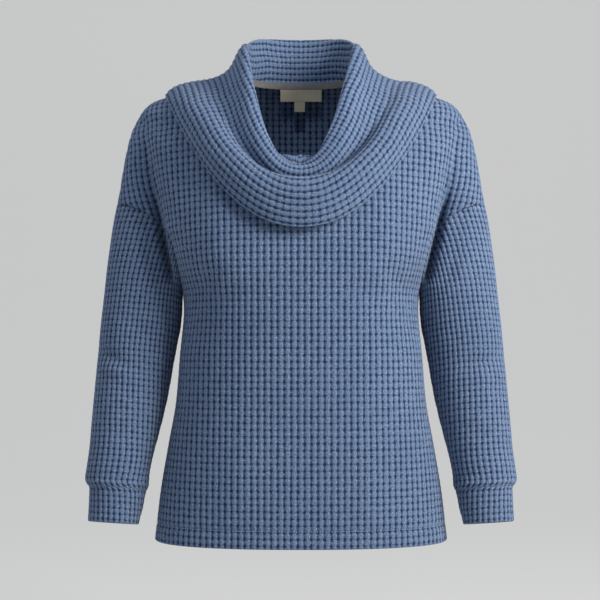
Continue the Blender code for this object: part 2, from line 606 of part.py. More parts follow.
def wall(name, grids, closed, collection, material):
    """Close an outer and an inner grid of points into one solid wall."""
    outer, inner = grids
    rows, columns = outer.shape[:2]
    mesh = bpy.data.meshes.new(name)
    build = bmesh.new()
    layers = [[[build.verts.new(point) for point in row] for row in layer] for layer in (outer, inner)]
    for layer, turned in zip(layers, (False, True)):
        for r in range(rows - 1):
            for c in range(columns if closed else columns - 1):
                after = (c + 1) % columns
                a, b, d, e = layer[r][c], layer[r][after], layer[r + 1][after], layer[r + 1][c]
                for triangle in ((a, b, d), (a, d, e)):
                    build.faces.new(triangle[::-1] if turned else triangle)
    rims = [[(layer[0][c], layer[-1][c]) for c in range(columns)] for layer in layers]
    for c in range(columns if closed else columns - 1):
        after = (c + 1) % columns
        build.faces.new((rims[0][c][0], rims[1][c][0], rims[1][after][0], rims[0][after][0]))
        build.faces.new((rims[0][c][1], rims[0][after][1], rims[1][after][1], rims[1][c][1]))
    if not closed:
        for r in range(rows - 1):
            for c, turned in ((0, False), (-1, True)):
                face = (layers[0][r][c], layers[0][r + 1][c], layers[1][r + 1][c], layers[1][r][c])
                build.faces.new(face[::-1] if turned else face)
    bmesh.ops.recalc_face_normals(build, faces=build.faces)
    build.to_mesh(mesh)
    build.free()
    mesh.shade_smooth()
    mesh.set_sharp_from_angle(angle=SHARP_ANGLE)
    piece = bpy.data.objects.new(name, mesh)
    mesh.materials.append(material)
    collection.objects.link(piece)
    return piece


def tape_grids(collar):
    """The tape stands on the collar's neck side, along the back neck seam."""
    half = collar_turns()
    turns = np.degrees(np.concatenate([half, 2 * math.pi - half[-2:0:-1]]))
    rows = [[], [], []]
    inward = []
    for c in np.flatnonzero((turns > TAPE_ARC[0]) & (turns < TAPE_ARC[1])):
        face = collar[1][:TAPE_RINGS, c]
        bottom = face[0, 2] - TAPE_BELOW_SEAM
        inward.append(unit([-face[0, 0] / NECK_HALF_WIDTH ** 2, -face[0, 1] / NECK_BACK_DEPTH ** 2, 0]))
        for row, height in zip(rows, (0, TAPE_HEIGHT / 2, TAPE_HEIGHT)):
            z = bottom + height
            x, y = (np.interp(z, face[:, 2], face[:, i]) for i in (0, 1))
            row.append([x, y, z])
    rows, inward = np.array(rows), np.array(inward)
    back = rows + inward * 2 * SEAM
    return back, back + inward * TAPE_THICKNESS


def hanging_grids(tape, size, shift, top, hung_from):
    """A small flat piece that hangs below the tape, follows its curve and leans back from hung_from down."""
    line = (tape[0][0] + tape[1][0]) / 2
    line = line[np.argsort(line[:, 0])]
    x = shift + np.linspace(-size[0] / 2, size[0] / 2, LABEL_STEPS + 1)
    y = np.interp(x, line[:, 0], line[:, 1])
    middle = np.array([np.stack([x, y + LABEL_LEAN * (hung_from - z), np.full_like(x, z)], axis=1)
                       for z in (top - size[1], top)])
    half = np.array([0, LABEL_THICKNESS / 2, 0])
    return middle + half, middle - half


def make_material(name, colour, roughness):
    material = bpy.data.materials.new(name)
    material.use_nodes = True
    shader = material.node_tree.nodes["Principled BSDF"]
    shader.inputs["Base Color"].default_value = colour
    shader.inputs["Roughness"].default_value = roughness
    shader.inputs["Metallic"].default_value = 0.0
    material.diffuse_color = colour
    return material


def main():
    for old in list(bpy.data.objects):
        bpy.data.objects.remove(old, do_unlink=True)
    collection = bpy.data.collections.new(GARMENT)
    bpy.context.scene.collection.children.link(collection)
    knit = make_material("waffle_knit", KNIT_BLUE, 0.95)

    front = panel_grids("front", -1)
    back = panel_grids("back", 1)
    wall("front", front, False, collection, knit)
    wall("back", back, False, collection, knit)
    for side, word in ((1, "left"), (-1, "right")):
        wall("sleeve_" + word, sleeve_grids(side, "sleeve_" + word), True, collection, knit)
        wall("cuff_" + word, cuff_grids(side), True, collection, knit)
    collar = collar_grids(front, back)
    wall("collar", collar, True, collection, knit)

    woven = make_material("neck_tape", TAPE_GREY, 0.85)
    label = make_material("neck_label", LABEL_BEIGE, 0.75)
    tape = tape_grids(collar)
    wall("neck_tape", tape, False, collection, woven)
    label_top = tape[0][0, :, 2].min() - SEAM
    wall("neck_label", hanging_grids(tape, LABEL_SIZE, 0.0, label_top, label_top), False, collection, label)
    tab_top = label_top - LABEL_SIZE[1] - SEAM
    wall("size_tab", hanging_grids(tape, TAB_SIZE, TAB_SHIFT, tab_top, label_top), False, collection, label)


main()
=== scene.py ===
import math

import bpy
import numpy as np
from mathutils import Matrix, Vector


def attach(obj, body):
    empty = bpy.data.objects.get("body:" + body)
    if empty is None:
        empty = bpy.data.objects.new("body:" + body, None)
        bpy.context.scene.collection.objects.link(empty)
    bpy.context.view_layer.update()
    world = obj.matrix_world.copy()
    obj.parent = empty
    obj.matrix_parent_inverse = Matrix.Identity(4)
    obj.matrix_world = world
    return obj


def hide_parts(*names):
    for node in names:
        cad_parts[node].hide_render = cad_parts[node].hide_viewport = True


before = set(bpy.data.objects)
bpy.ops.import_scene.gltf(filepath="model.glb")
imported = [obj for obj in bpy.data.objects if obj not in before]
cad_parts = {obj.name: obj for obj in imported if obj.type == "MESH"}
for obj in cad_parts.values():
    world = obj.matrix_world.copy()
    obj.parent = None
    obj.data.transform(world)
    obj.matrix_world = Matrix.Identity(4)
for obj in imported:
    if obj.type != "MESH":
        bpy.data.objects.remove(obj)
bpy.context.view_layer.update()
print("frame loaded:", len(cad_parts), "nodes")

# The sweater's front faces -Y and the wearer's left is at +X. Knit coordinates count waffle cells: u across
# the columns from a piece's centre line, v along them from its hem, cuff or free edge.

cloth = {
    "layer": 0.0022,            # one layer of waffle knit
    "seam": 0.0003,             # gap at a seam
    "perCell": 4,               # outer points for each waffle cell, each way
    "perCellInside": 2,
    "relief": 0.0024,           # from the pits to the top of the ribs
    "reliefBase": 0.62,         # share of it that lies under the cloth's middle
    "ribWidth": 0.55,           # lower makes wider ribs and narrower grooves
    "grooveShare": 0.58,        # the grooves between columns are this deep beside the pits
    "rowDip": 0.16,             # and the ribs sink this much between rows
    "seamDip": 0.0002,          # seams draw the cloth in
    "seamReach": 0.0030,
    "foldTaper": 1.6,
    "edgeFade": 0.0022,         # the relief fades out this close to a seam or an edge
    "edgeRound": 0.75,          # how round a free edge is
    "lineSteps": 200,
}

body = {
    "cell": (0.0096, 0.0098),
    "hem": -0.688,
    "hemStitch": 0.026,         # above the hem
    "hemWall": 0.0046,
    "hemDip": 0.0016,           # the stitches draw the cloth in this much
    "hemDipReach": 0.0028,
    "underarm": -0.312,
    "neckHalfWidth": 0.100,
    "shoulderPoint": 0.006,
    "shoulderCorner": -0.054,
    "armHalfWidth": 0.057,
    "roundness": 2.3,
    "chestSquareness": 1.2,
    "blend": 8,
    "armholePull": 7,
    "setback": 0.015,           # side and shoulder seams lie this far behind the neck
    "setbackX": (0.110, 0.180),
    "setbackZ": (-0.420, -0.330),
    "squareZ": (-0.330, -0.250, -0.110, -0.060),
    "armZ": (-0.090, -0.020),
    "armDepth": {-1: 0.046, 1: 0.056},
    "neckline": {-1: (-0.150, 4), 1: (-0.004, 3)},      # front and back: lowest point, power
    "rows": 230,
    # Height with half width, height with front and back depth, and the outer line from the neck to the arm.
    "sides": ((-0.688, 0.2180), (-0.610, 0.2085), (-0.540, 0.1965), (-0.480, 0.1860), (-0.412, 0.1805),
              (-0.346, 0.1755), (-0.312, 0.1780), (-0.270, 0.1905), (-0.240, 0.1975), (-0.200, 0.2050),
              (-0.150, 0.2165), (-0.100, 0.2275), (-0.075, 0.2345), (-0.054, 0.2425)),
    "depths": ((-0.688, 0.120, 0.122), (-0.610, 0.120, 0.118), (-0.540, 0.120, 0.113), (-0.480, 0.121, 0.108),
               (-0.412, 0.123, 0.106), (-0.346, 0.127, 0.108), (-0.270, 0.128, 0.115), (-0.200, 0.121, 0.117),
               (-0.150, 0.108, 0.115), (-0.100, 0.098, 0.108), (-0.060, 0.084, 0.096), (-0.038, 0.070, 0.084),
               (-0.025, 0.060, 0.076), (-0.012, 0.048, 0.062), (0.000, 0.032, 0.044), (0.006, 0.022, 0.030)),
    "shoulder": ((0.006, 0.1000), (-0.003, 0.1280), (-0.013, 0.1650), (-0.0265, 0.2040), (-0.034, 0.2235),
                 (-0.042, 0.2335), (-0.054, 0.2425), (-0.075, 0.2535), (-0.099, 0.2605), (-0.131, 0.2670),
                 (-0.172, 0.2735), (-0.185, 0.2765), (-0.237, 0.2855), (-0.326, 0.2960)),
}


def ease(value):
    value = np.clip(value, 0.0, 1.0)
    return value * value * (3 - 2 * value)


def riseOver(span, value):
    return ease((np.asarray(value, float) - span[0]) / (span[1] - span[0]))


def through(places, values, at):                    # monotone cubic curve through a short table
    order = np.argsort(places)
    places, values = np.asarray(places, float)[order], np.asarray(values, float)[order]
    steps = np.diff(places)
    slopes = np.diff(values) / steps
    bends = np.zeros(len(values))
    for i in range(1, len(values) - 1):
        if slopes[i - 1] * slopes[i] > 0:
            before, after = 2 * steps[i] + steps[i - 1], steps[i] + 2 * steps[i - 1]
            bends[i] = (before + after) / (before / slopes[i - 1] + after / slopes[i])
    bends[0], bends[-1] = slopes[0], slopes[-1]
    at = np.clip(at, places[0], places[-1])
    cell = np.clip(np.searchsorted(places, at, side="right") - 1, 0, len(steps) - 1)
    step = steps[cell]
    s = (at - places[cell]) / step
    return ((1 + 2 * s) * (1 - s) ** 2 * values[cell] + s * (1 - s) ** 2 * step * bends[cell]
            + s * s * (3 - 2 * s) * values[cell + 1] + s * s * (s - 1) * step * bends[cell + 1])


def fromTable(table, column, at):
    return through([row[0] for row in table], [row[column] for row in table], at)


def unit(vectors):
    vectors = np.asarray(vectors, float)
    return vectors / np.maximum(np.linalg.norm(vectors, axis=-1, keepdims=True), 1e-12)


def outlineX(z):
    return fromTable(body["shoulder"], 1, z)


def torsoHalfWidth(z):
    return np.where(np.asarray(z) > body["shoulderCorner"], outlineX(z), fromTable(body["sides"], 1, z))


def seamY(x, z):
    return body["setback"] * riseOver(body["setbackX"], np.abs(x)) * riseOver(body["setbackZ"], z)


def bodyDepth(facing, x, z):                        # how far the body's outer face stands from its seams
    across = np.clip(np.abs(x) / torsoHalfWidth(z), 0.0, 1.0)
    square = riseOver(body["squareZ"][:2], z) * (1 - riseOver(body["squareZ"][2:], z))
    power = body["roundness"] + (body["chestSquareness"] * square if facing < 0 else 0.0)
    deep = fromTable(body["depths"], 1 if facing < 0 else 2, z)
    torso = deep * (1 - across ** power) ** (1 / power)
    reach = body["armHalfWidth"]
    fromArm = np.clip((np.abs(x) - outlineX(z) + reach) / reach, -1.0, 1.0)
    arm = body["armDepth"][facing] * (1 - riseOver(body["armZ"], z)) * np.sqrt(1 - fromArm ** 2)
    arm = np.where(np.asarray(z) < body["underarm"], 0.0, arm)
    return (torso ** body["blend"] + arm ** body["blend"]) ** (1 / body["blend"])


# A sleeve ring is a tilted oval, from the armhole down to the cuff: outer x and z, inner x and z, bulge,
# front and back depth, middle y and tilt.
sleeve = {
    "cell": (0.0089, 0.0087),
    "cuffDip": 0.0012,
    "cuffDipReach": 0.003,
    "bulgeDrop": 0.3,
    "rings": (
        (0.2765, -0.1850, 0.1780, -0.3120, 0.036, 0.050, 0.056, 0.015, 0.00),
        (0.2825, -0.2150, 0.1795, -0.3300, 0.026, 0.053, 0.056, 0.016, 0.00),
        (0.2870, -0.2450, 0.1800, -0.3480, 0.016, 0.054, 0.057, 0.016, 0.00),
        (0.2915, -0.2800, 0.1820, -0.3700, 0.008, 0.055, 0.057, 0.015, 0.00),
        (0.2960, -0.3250, 0.1880, -0.4020, 0.003, 0.055, 0.056, 0.012, 0.00),
        (0.3005, -0.3690, 0.1940, -0.4370, 0.000, 0.054, 0.055, 0.008, 0.00),
        (0.3045, -0.4200, 0.2000, -0.4730, 0.000, 0.053, 0.053, 0.002, 0.00),
        (0.3085, -0.4700, 0.2075, -0.5080, 0.000, 0.051, 0.051, -0.006, 0.02),
        (0.3120, -0.5150, 0.2160, -0.5420, 0.000, 0.048, 0.048, -0.012, 0.04),
        (0.3145, -0.5500, 0.2230, -0.5700, 0.000, 0.046, 0.046, -0.017, 0.06),
        (0.3180, -0.5780, 0.2265, -0.5920, 0.000, 0.046, 0.046, -0.021, 0.09),
        (0.3200, -0.5940, 0.2270, -0.6040, 0.000, 0.046, 0.046, -0.024, 0.12),
        (0.3160, -0.6070, 0.2285, -0.6130, 0.000, 0.044, 0.044, -0.025, 0.15),
    ),
    "steps": 12,                # rows of the smooth surface between two rings
    "turns": 90,                # and columns round half of it, for the cuffs too
}

cuff = {
    "cell": (0.0084, 0.0086),
    "wall": 0.0034,
    "seamDip": 0.0015,
    "steps": 10,
    "rings": (
        (0.3160, -0.6073, 0.2285, -0.6133, 0.000, 0.0440, 0.0440, -0.0250, 0.15),
        (0.3135, -0.6115, 0.2305, -0.6155, 0.000, 0.0415, 0.0415, -0.0255, 0.15),
        (0.3140, -0.6350, 0.2355, -0.6390, 0.000, 0.0390, 0.0390, -0.0290, 0.15),
        (0.3150, -0.6577, 0.2410, -0.6626, 0.000, 0.0370, 0.0370, -0.0330, 0.15),
    ),
}

# Collar rings from the neck seam to the free edge: front, side and back, then the powers that say how fast
# a ring climbs from its front or back to its side, then how far it is kept off the body.
collar = {
    "cell": (0.0096, 0.0092),   # round the neck, and from the edge up
    "halfCells": 60,            # cells round half of it
    "knitFrom": "belly",        # they are evenly spaced on this ring
    "square": 0.6,              # and cross the others this squarely, at 1 wholly
    "steps": 12,
    "turns": 180,
    "restZ": 0.012,             # below this the folds rest on the body
    "restDepth": 0.004,
    "rings": {
        "stand": (-0.103, -0.138, 0.092, 0.015, 0.054, 0.012, 4.0, 3.0, None),
        "lip": (-0.100, -0.121, 0.086, 0.027, 0.058, 0.032, 4.0, 3.0, None),
        "valley": None,
        "crest": (-0.115, -0.136, 0.0805, 0.0520, 0.072, 0.069, 2.4, 7.5, None),
        "brow": (-0.1215, -0.140, 0.0910, 0.0430, 0.079, 0.0655, 2.5, 6.0, None),
        "face": (-0.121, -0.149, 0.106, 0.016, 0.081, 0.050, 2.8, 3.0, 0.003),
        "groove": (-0.114, -0.160, 0.1400, 0.0000, 0.085, 0.035, 2.3, 2.5, 0.002),
        "roll": (-0.137, -0.156, 0.162, -0.0020, 0.090, 0.015, 2.35, 2.5, 0.009),
        "belly": (-0.150, -0.173, 0.186, -0.0080, 0.093, -0.002, 2.4, 2.4, 0.010),
        "under": (-0.145, -0.204, 0.197, -0.0145, 0.096, -0.018, 2.25, 2.2, 0.006),
        "edge": (-0.131, -0.226, 0.204, -0.0225, 0.097, -0.036, 2.15, 2.0, 0.003),
    },
    # Lower fullness keeps a ring forward as it turns to the side. Forward is how far it stands out half way.
    "fullness": {"crest": 0.60, "brow": 0.60, "face": 0.70},
    "forward": {"crest": 0.006, "brow": 0.011, "face": 0.011, "roll": 0.011, "belly": 0.009, "under": 0.003},
    "sway": {"crest": -0.006, "valley": -0.003, "groove": -0.003},
    "grooveSkew": 0.0065,
    "grooveDrop": -0.002,
    "valleyFront": (0.0, -0.002, -0.0145),
    "valleyWidth": math.radians(25),
}

# Soft folds: node, facing, x, z, turn in degrees, length, width and depth. A negative depth makes a ridge.
folds = (
    ("sleeve_right", -1, -0.284, -0.412, -24, 0.046, 0.009, 0.0056),
    ("sleeve_right", -1, -0.268, -0.436, -14, 0.040, 0.009, -0.0034),
    ("sleeve_right", -1, -0.236, -0.372, -34, 0.050, 0.010, 0.0034),
    ("sleeve_right", -1, -0.262, -0.520, 20, 0.060, 0.012, 0.0018),
    ("sleeve_right", -1, -0.232, -0.262, -62, 0.060, 0.011, 0.0026),
    ("sleeve_right", -1, -0.272, -0.590, -4, 0.060, 0.007, 0.0026),
    ("sleeve_right", 1, -0.250, -0.400, 20, 0.060, 0.012, 0.0036),
    ("sleeve_right", 1, -0.262, -0.440, 12, 0.052, 0.010, 0.0028),
    ("sleeve_right", 1, -0.270, -0.588, 3, 0.055, 0.007, 0.0022),
    ("sleeve_left", -1, 0.262, -0.421, 14, 0.052, 0.009, 0.0056),
    ("sleeve_left", -1, 0.272, -0.446, 8, 0.046, 0.009, -0.0032),
    ("sleeve_left", -1, 0.232, -0.380, 32, 0.050, 0.010, 0.0032),
    ("sleeve_left", -1, 0.262, -0.525, -18, 0.060, 0.012, 0.0018),
    ("sleeve_left", -1, 0.238, -0.258, 64, 0.055, 0.010, 0.0024),
    ("sleeve_left", -1, 0.272, -0.588, 5, 0.060, 0.007, 0.0030),
    ("sleeve_left", 1, 0.248, -0.408, -18, 0.060, 0.012, 0.0034),
    ("sleeve_left", 1, 0.262, -0.452, -10, 0.050, 0.010, 0.0026),
    ("sleeve_left", 1, 0.268, -0.590, -4, 0.055, 0.007, 0.0024),
    ("front", -1, -0.135, -0.300, 52, 0.075, 0.014, 0.0026),
    ("front", -1, -0.118, -0.345, 64, 0.070, 0.014, 0.0018),
    ("front", -1, 0.138, -0.296, -54, 0.075, 0.014, 0.0026),
    ("front", -1, 0.112, -0.352, -66, 0.070, 0.014, 0.0016),
    ("front", -1, -0.090, -0.590, 84, 0.110, 0.024, -0.0022),
    ("front", -1, 0.096, -0.575, -84, 0.120, 0.024, -0.0024),
    ("collar", -1, -0.120, -0.110, -48, 0.070, 0.010, 0.0022),
    ("collar", -1, 0.125, -0.090, 52, 0.060, 0.011, 0.0020),
    ("collar", -1, -0.030, -0.188, -8, 0.050, 0.007, 0.0018),
    ("collar", -1, 0.062, -0.176, 24, 0.050, 0.008, 0.0016),
    ("back", 1, -0.120, -0.290, 58, 0.090, 0.018, 0.0040),
    ("back", 1, 0.124, -0.284, -58, 0.090, 0.018, 0.0036),
    ("back", 1, -0.060, -0.430, 8, 0.110, 0.016, 0.0030),
    ("back", 1, 0.052, -0.462, -9, 0.110, 0.016, 0.0028),
    ("back", 1, 0.010, -0.400, 3, 0.100, 0.016, 0.0024),
)


# The front turns back to the arm along a crease on each side, crisp on its inner side and fading outwards.
turnBack = {
    "lines": ((-0.2050, -0.205, -79), (0.2010, -0.210, 77)),      # x, z, turn
    "length": 0.175,
    "sharp": (-0.0005, 0.0048),
    "fade": 0.030,
    "ends": (0.034, 0.054),     # gone this far outside it
    "depth": 0.0175,
    "shallow": 0.45,            # share of the depth at the top
    "deepen": (-0.100, -0.230),
    "armpit": (-0.312, -0.288),
    "lip": (0.006, 0.0038),
    "trough": (0.0068, 0.0056, 0.022),      # place outside it, width and depth, towards the armpit
    "troughFrom": (-0.150, -0.250),
}


def turnBackShift(points):                          # how far the cloth stands back, as seen from the front
    shift = np.zeros(points.shape[:-1])
    atX, atZ = points[..., 0], points[..., 2]
    for x, z, turn in turnBack["lines"]:
        turn = math.radians(turn)
        along = (atX - x) * math.cos(turn) + (atZ - z) * math.sin(turn)
        outside = (atX - x) * math.sin(turn) - (atZ - z) * math.cos(turn)
        outside = outside * np.sign(math.sin(turn) * x)
        drop = turnBack["depth"] * riseOver(turnBack["sharp"], outside)
        drop = drop * (1 - riseOver(turnBack["ends"], outside))
        drop = drop * np.exp(-np.maximum(outside, 0) / turnBack["fade"])
        place, width, height = turnBack["trough"]
        trough = height * np.exp(-((outside - place) / width) ** 2) * riseOver(turnBack["troughFrom"], atZ)
        width, height = turnBack["lip"]
        raised = height * np.exp(-((outside + width) / width) ** 2)
        near = np.exp(-(along / turnBack["length"] * cloth["foldTaper"]) ** 4) * (np.sign(atX) == np.sign(x))
        deep = turnBack["shallow"] + (1 - turnBack["shallow"]) * riseOver(turnBack["deepen"], atZ)
        shift += ((drop - raised) * deep + trough) * near * riseOver(turnBack["armpit"], atZ)
    return shift


def foldShift(node, facing, points):
    shift = np.zeros(points.shape[:-1])
    for name, side, x, z, turn, length, width, depth in folds:
        if name != node:
            continue
        turn = math.radians(turn)
        dx, dz = points[..., 0] - x, points[..., 2] - z
        along = dx * math.cos(turn) + dz * math.sin(turn)
        across = dz * math.cos(turn) - dx * math.sin(turn)
        shape = np.exp(-(along / length * cloth["foldTaper"]) ** 2 - (across / width) ** 2)
        shift += np.where(facing * side > 0, depth * shape, 0.0)
    return shift


def gridNormals(points, outward):                   # outward is a rough direction for each point
    normals = unit(np.cross(np.gradient(points, axis=1), np.gradient(points, axis=0)))
    flip = np.sign(np.sum(normals * outward))
    return normals * flip


def lengthAlong(points, axis):
    steps = np.linalg.norm(np.diff(points, axis=axis), axis=-1)
    start = np.zeros_like(np.take(steps, [0], axis=axis))
    return np.concatenate([start, np.cumsum(steps, axis=axis)], axis=axis)


def knitLattice(halves, cell, perCell, edgeRows, closed, turned):
    # Points on the knit's own columns and rows, cut off at the piece's seams. Each half has smooth grids of
    # points and normals, rows from the hem up and columns from the centre line to the seam, with u and v in
    # metres, and a ceiling where its columns end before the last row.
    du, dv = cell[0] / perCell, cell[1] / perCell
    spare = 0.35                                    # a column or row nearer than this to a seam joins it
    points, normals, room, height, faces, knit = [], [], [], [], [], []
    known = {}

    def vertex(key, data, margin, up):
        if key not in known:
            known[key] = len(points)
            points.append(data[:3])
            normals.append(data[3:6])
            room.append(margin)
            height.append(up)
        return known[key]

    for sign, half in zip((1, -1), halves):
        end = 0 if closed else sign
        u = half["u"]
        fields = np.concatenate([half["points"], half["normals"], half["v"][..., None]], axis=2)
        columns = np.arange(int(u.max() / du) + 2) * du
        firstRow = math.ceil((edgeRows[-1] + spare * dv) / dv)
        rows = np.concatenate([edgeRows, np.arange(firstRow, int(half["v"].max() / dv) + 2) * dv])
        walls = np.array([[np.interp(columns, u[r], fields[r, :, k]) for k in range(7)]
                          for r in range(len(u))])
        side = fields[:, -1]
        sideU = np.interp(rows, side[:, 6], u[:, -1])
        sidePoints = np.array([np.interp(rows, side[:, 6], side[:, k]) for k in range(6)]).T
        ids = np.zeros((len(columns), len(rows)), int)
        places = np.zeros((len(columns), len(rows), 2))
        for i, across in enumerate(columns):
            line = walls[:, :, i]
            top = line[-1]
            cornered = across >= u[-1, -1] - spare * du
            if "ceiling" in half:
                over = np.clip(line[:, 2] - half["ceiling"](line[:, 0]), -1, 1)
                past = np.flatnonzero(over > 0)
                if len(past) and past[0] > 0:
                    k = past[0]
                    share = over[k - 1] / (over[k - 1] - over[k])
                    top = line[k - 1] + (line[k] - line[k - 1]) * share
                    cornered = False
            inside = np.array([np.interp(rows, line[:, 6], line[:, k]) for k in range(6)]).T
            for j, up in enumerate(rows):
                beside = across > sideU[j] - spare * du
                if beside and up < side[-1, 6] - spare * dv:
                    here = sideU[j], up
                    ids[i, j] = vertex(("side", end, j), sidePoints[j], 0.0, up)
                elif (beside or up > top[6] - spare * dv) and cornered:
                    here = u[-1, -1], side[-1, 6]
                    ids[i, j] = vertex(("corner", end), side[-1], 0.0, side[-1, 6])
                elif up > top[6] - spare * dv:
                    here = across, top[6]
                    ids[i, j] = vertex(("top", sign * i), top, 0.0, top[6])
                else:
                    here = across, up
                    margin = min(sideU[j] - across, top[6] - up)
                    ids[i, j] = vertex(("in", sign * i, j), inside[j], margin, up)
                here = here[0] * sign / cell[0], here[1] / cell[1]
                places[i, j] = here[::-1] if turned else here
        for i in range(len(columns) - 1):
            for j in range(len(rows) - 1):
                corners, uvs = [], []
                for a, b in ((i, j), (i + 1, j), (i + 1, j + 1), (i, j + 1)):
                    if ids[a, b] not in corners:
                        corners.append(int(ids[a, b]))
                        uvs.append(places[a, b])
                if len(corners) > 2:
                    faces.append(corners[::sign])
                    knit.append(uvs[::sign])
    return {"points": np.array(points), "normals": unit(normals), "faces": faces, "knit": knit,
            "room": np.maximum(room, 0), "height": np.array(height)}


def openLoops(faces):                               # rims, each as a loop of points that runs with its faces
    edges = {}
    for face in faces:
        for a, b in zip(face, face[1:] + face[:1]):
            edges[(a, b)] = True
    after = {a: b for a, b in edges if (b, a) not in edges}
    loops = []
    while after:
        start, here = next(iter(after.items()))
        loop = [start]
        del after[start]
        while here != start and here in after:
            loop.append(here)
            here = after.pop(here)
        loops.append(loop)
    return loops


def bridge(points, outer, inner):                   # triangles between two rims with unlike numbers of points
    far = np.linalg.norm(points[inner] - points[outer[0]], axis=1)
    first = int(np.argmin(far))
    inner = inner[first:] + inner[:first]
    share = []
    for loop in (outer, inner):
        steps = np.linalg.norm(points[loop] - points[loop[1:] + loop[:1]], axis=1)
        share.append(np.concatenate([[0], np.cumsum(steps)]) / steps.sum())
    faces, i, k = [], 0, 0
    while i < len(outer) or k < len(inner):
        a, b = outer[i % len(outer)], inner[k % len(inner)]
        if k == len(inner) or (i < len(outer) and share[0][i + 1] <= share[1][k + 1]):
            i += 1
            faces.append([outer[i % len(outer)], a, b])
        else:
            k += 1
            faces.append([a, b, inner[k % len(inner)]])
    return faces


def pairRims(points, outerLoops, innerLoops):
    pairs = []
    for outer in outerLoops:
        middle = points[outer].mean(axis=0)
        inner = min(innerLoops, key=lambda loop: np.linalg.norm(points[loop].mean(axis=0) - middle))
        pairs.append((outer, inner))
    return pairs


def meshOf(name, points, edges, faces):
    mesh = bpy.data.meshes.new(name)
    mesh.from_pydata(points, edges, faces)
    return mesh


def inScene(name, data):
    thing = bpy.data.objects.new(name, data)
    bpy.context.scene.collection.objects.link(thing)
    return thing


def signedVolume(points, faces):
    total = 0.0
    for face in faces:
        for b, c in zip(face[1:], face[2:]):
            total += np.dot(points[face[0]], np.cross(points[b], points[c]))
    return total / 6


def knitPiece(name, outer, inner, material):
    # One closed shell from an outer and an inner lattice, with its knit coordinates and its room for relief.
    points = np.concatenate([outer["points"], inner["points"]])
    shift = len(outer["points"])
    back = [[index + shift for index in face[::-1]] for face in inner["faces"]]
    faces = outer["faces"] + back
    knit = outer["knit"] + [uvs[::-1] for uvs in inner["knit"]]
    where = {}
    for face, uvs in zip(faces, knit):
        where.update(zip(face, uvs))
    innerLoops = [loop[::-1] for loop in openLoops(back)]
    for outside, inside in pairRims(points, openLoops(outer["faces"]), innerLoops):
        for face in bridge(points, outside, inside):
            faces.append(face)
            knit.append([where[index] for index in face])
    if signedVolume(points, faces) < 0:
        faces, knit = [face[::-1] for face in faces], [uvs[::-1] for uvs in knit]
    mesh = meshOf(name, points.tolist(), [], faces)
    layer = mesh.uv_layers.new(name="knit")
    layer.data.foreach_set("uv", np.concatenate([np.ravel(uvs) for uvs in knit]))
    weave = np.zeros((len(points), 3))
    for index, uv in where.items():
        weave[index, :2] = uv
    weave[:shift, 2] = ease(np.minimum(outer["room"], outer["height"]) / cloth["edgeFade"])
    mesh.attributes.new("weave", "FLOAT_VECTOR", "POINT").data.foreach_set("vector", weave.ravel())
    mesh.materials.append(material)
    mesh.shade_smooth()
    return inScene(name, mesh)


def roundOff(height, radius):                       # how far a rounded edge lies inside its wall's face
    near = np.clip(radius - height, 0, radius)
    return cloth["edgeRound"] * (radius - np.sqrt(radius ** 2 - near ** 2))


def cutCloth(name, halves, cell, closed, wallAt, edgeWall, dips=(), seamDip=cloth["seamDip"], turned=False):
    # An outer and an inner lattice of one piece. edgeWall rounds its free edge, dips are sunk lines, and the
    # ribs of a turned piece run along its rows.
    radius = edgeWall / 2
    edgeRows = [0.0] if not radius else [0.0, 0.3 * radius, radius]
    layers = []
    for perCell, inside in ((cloth["perCell"], False), (cloth["perCellInside"], True)):
        grid = knitLattice(halves, cell, perCell, edgeRows, closed, turned)
        height = grid["height"]
        rounded = roundOff(height, radius) if radius else 0 * height
        if inside:
            offset = rounded - wallAt(height)       # the inner face lies one wall behind
        else:
            seams = grid["room"] if radius else np.minimum(grid["room"], height)
            offset = -rounded - seamDip * np.exp(-(seams / cloth["seamReach"]) ** 2)
            for line, deep, reach in dips:
                offset -= deep * np.exp(-((height - line) / reach) ** 2)
        grid["points"] = grid["points"] + grid["normals"] * offset[:, None]
        layers.append(grid)
    piece = knitPiece(name, *layers, knitBlue)
    piece.data = runTree(piece, waffle, {"Depth": cloth["relief"], "Base": cloth["reliefBase"],
                                         "Rib width": cloth["ribWidth"], "Groove share": cloth["grooveShare"],
                                         "Row dip": cloth["rowDip"], "Material": knitBlue})
    piece.data.attributes.remove(piece.data.attributes["weave"])
    piece.data.shade_smooth()
    print(name, "cut:", len(piece.data.polygons), "faces")
    return piece


def armholeCurve():                                 # x, front y and back y of the armhole against its height
    turns = np.linspace(0, math.pi, cloth["lineSteps"])
    ring = sleeve["rings"][0]
    front, back = ringPoints(ring, turns), ringPoints(ring, -turns)
    return front[::-1, 2], front[::-1, 0], {-1: front[::-1, 1], 1: back[::-1, 1]}


def ringPoints(ring, turns):                        # turn 0 is a ring's outer point, 90 degrees its front
    outerX, outerZ, innerX, innerZ, bulge, front, back, middleY, tilt = ring
    half = np.array([outerX - innerX, outerZ - innerZ]) / 2
    side = np.array([-half[1], half[0]]) / np.linalg.norm(half)
    sine, cosine = np.sin(turns), np.cos(turns)
    depth = np.where(sine > 0, front, back)
    bow = bulge * sine ** 2 * (1 + sleeve["bulgeDrop"] * np.minimum(cosine, 0))
    x = (outerX + innerX) / 2 + half[0] * cosine + side[0] * bow
    z = (outerZ + innerZ) / 2 + half[1] * cosine + side[1] * bow
    return np.stack([x, middleY - depth * sine, z + tilt * depth * sine], axis=-1)


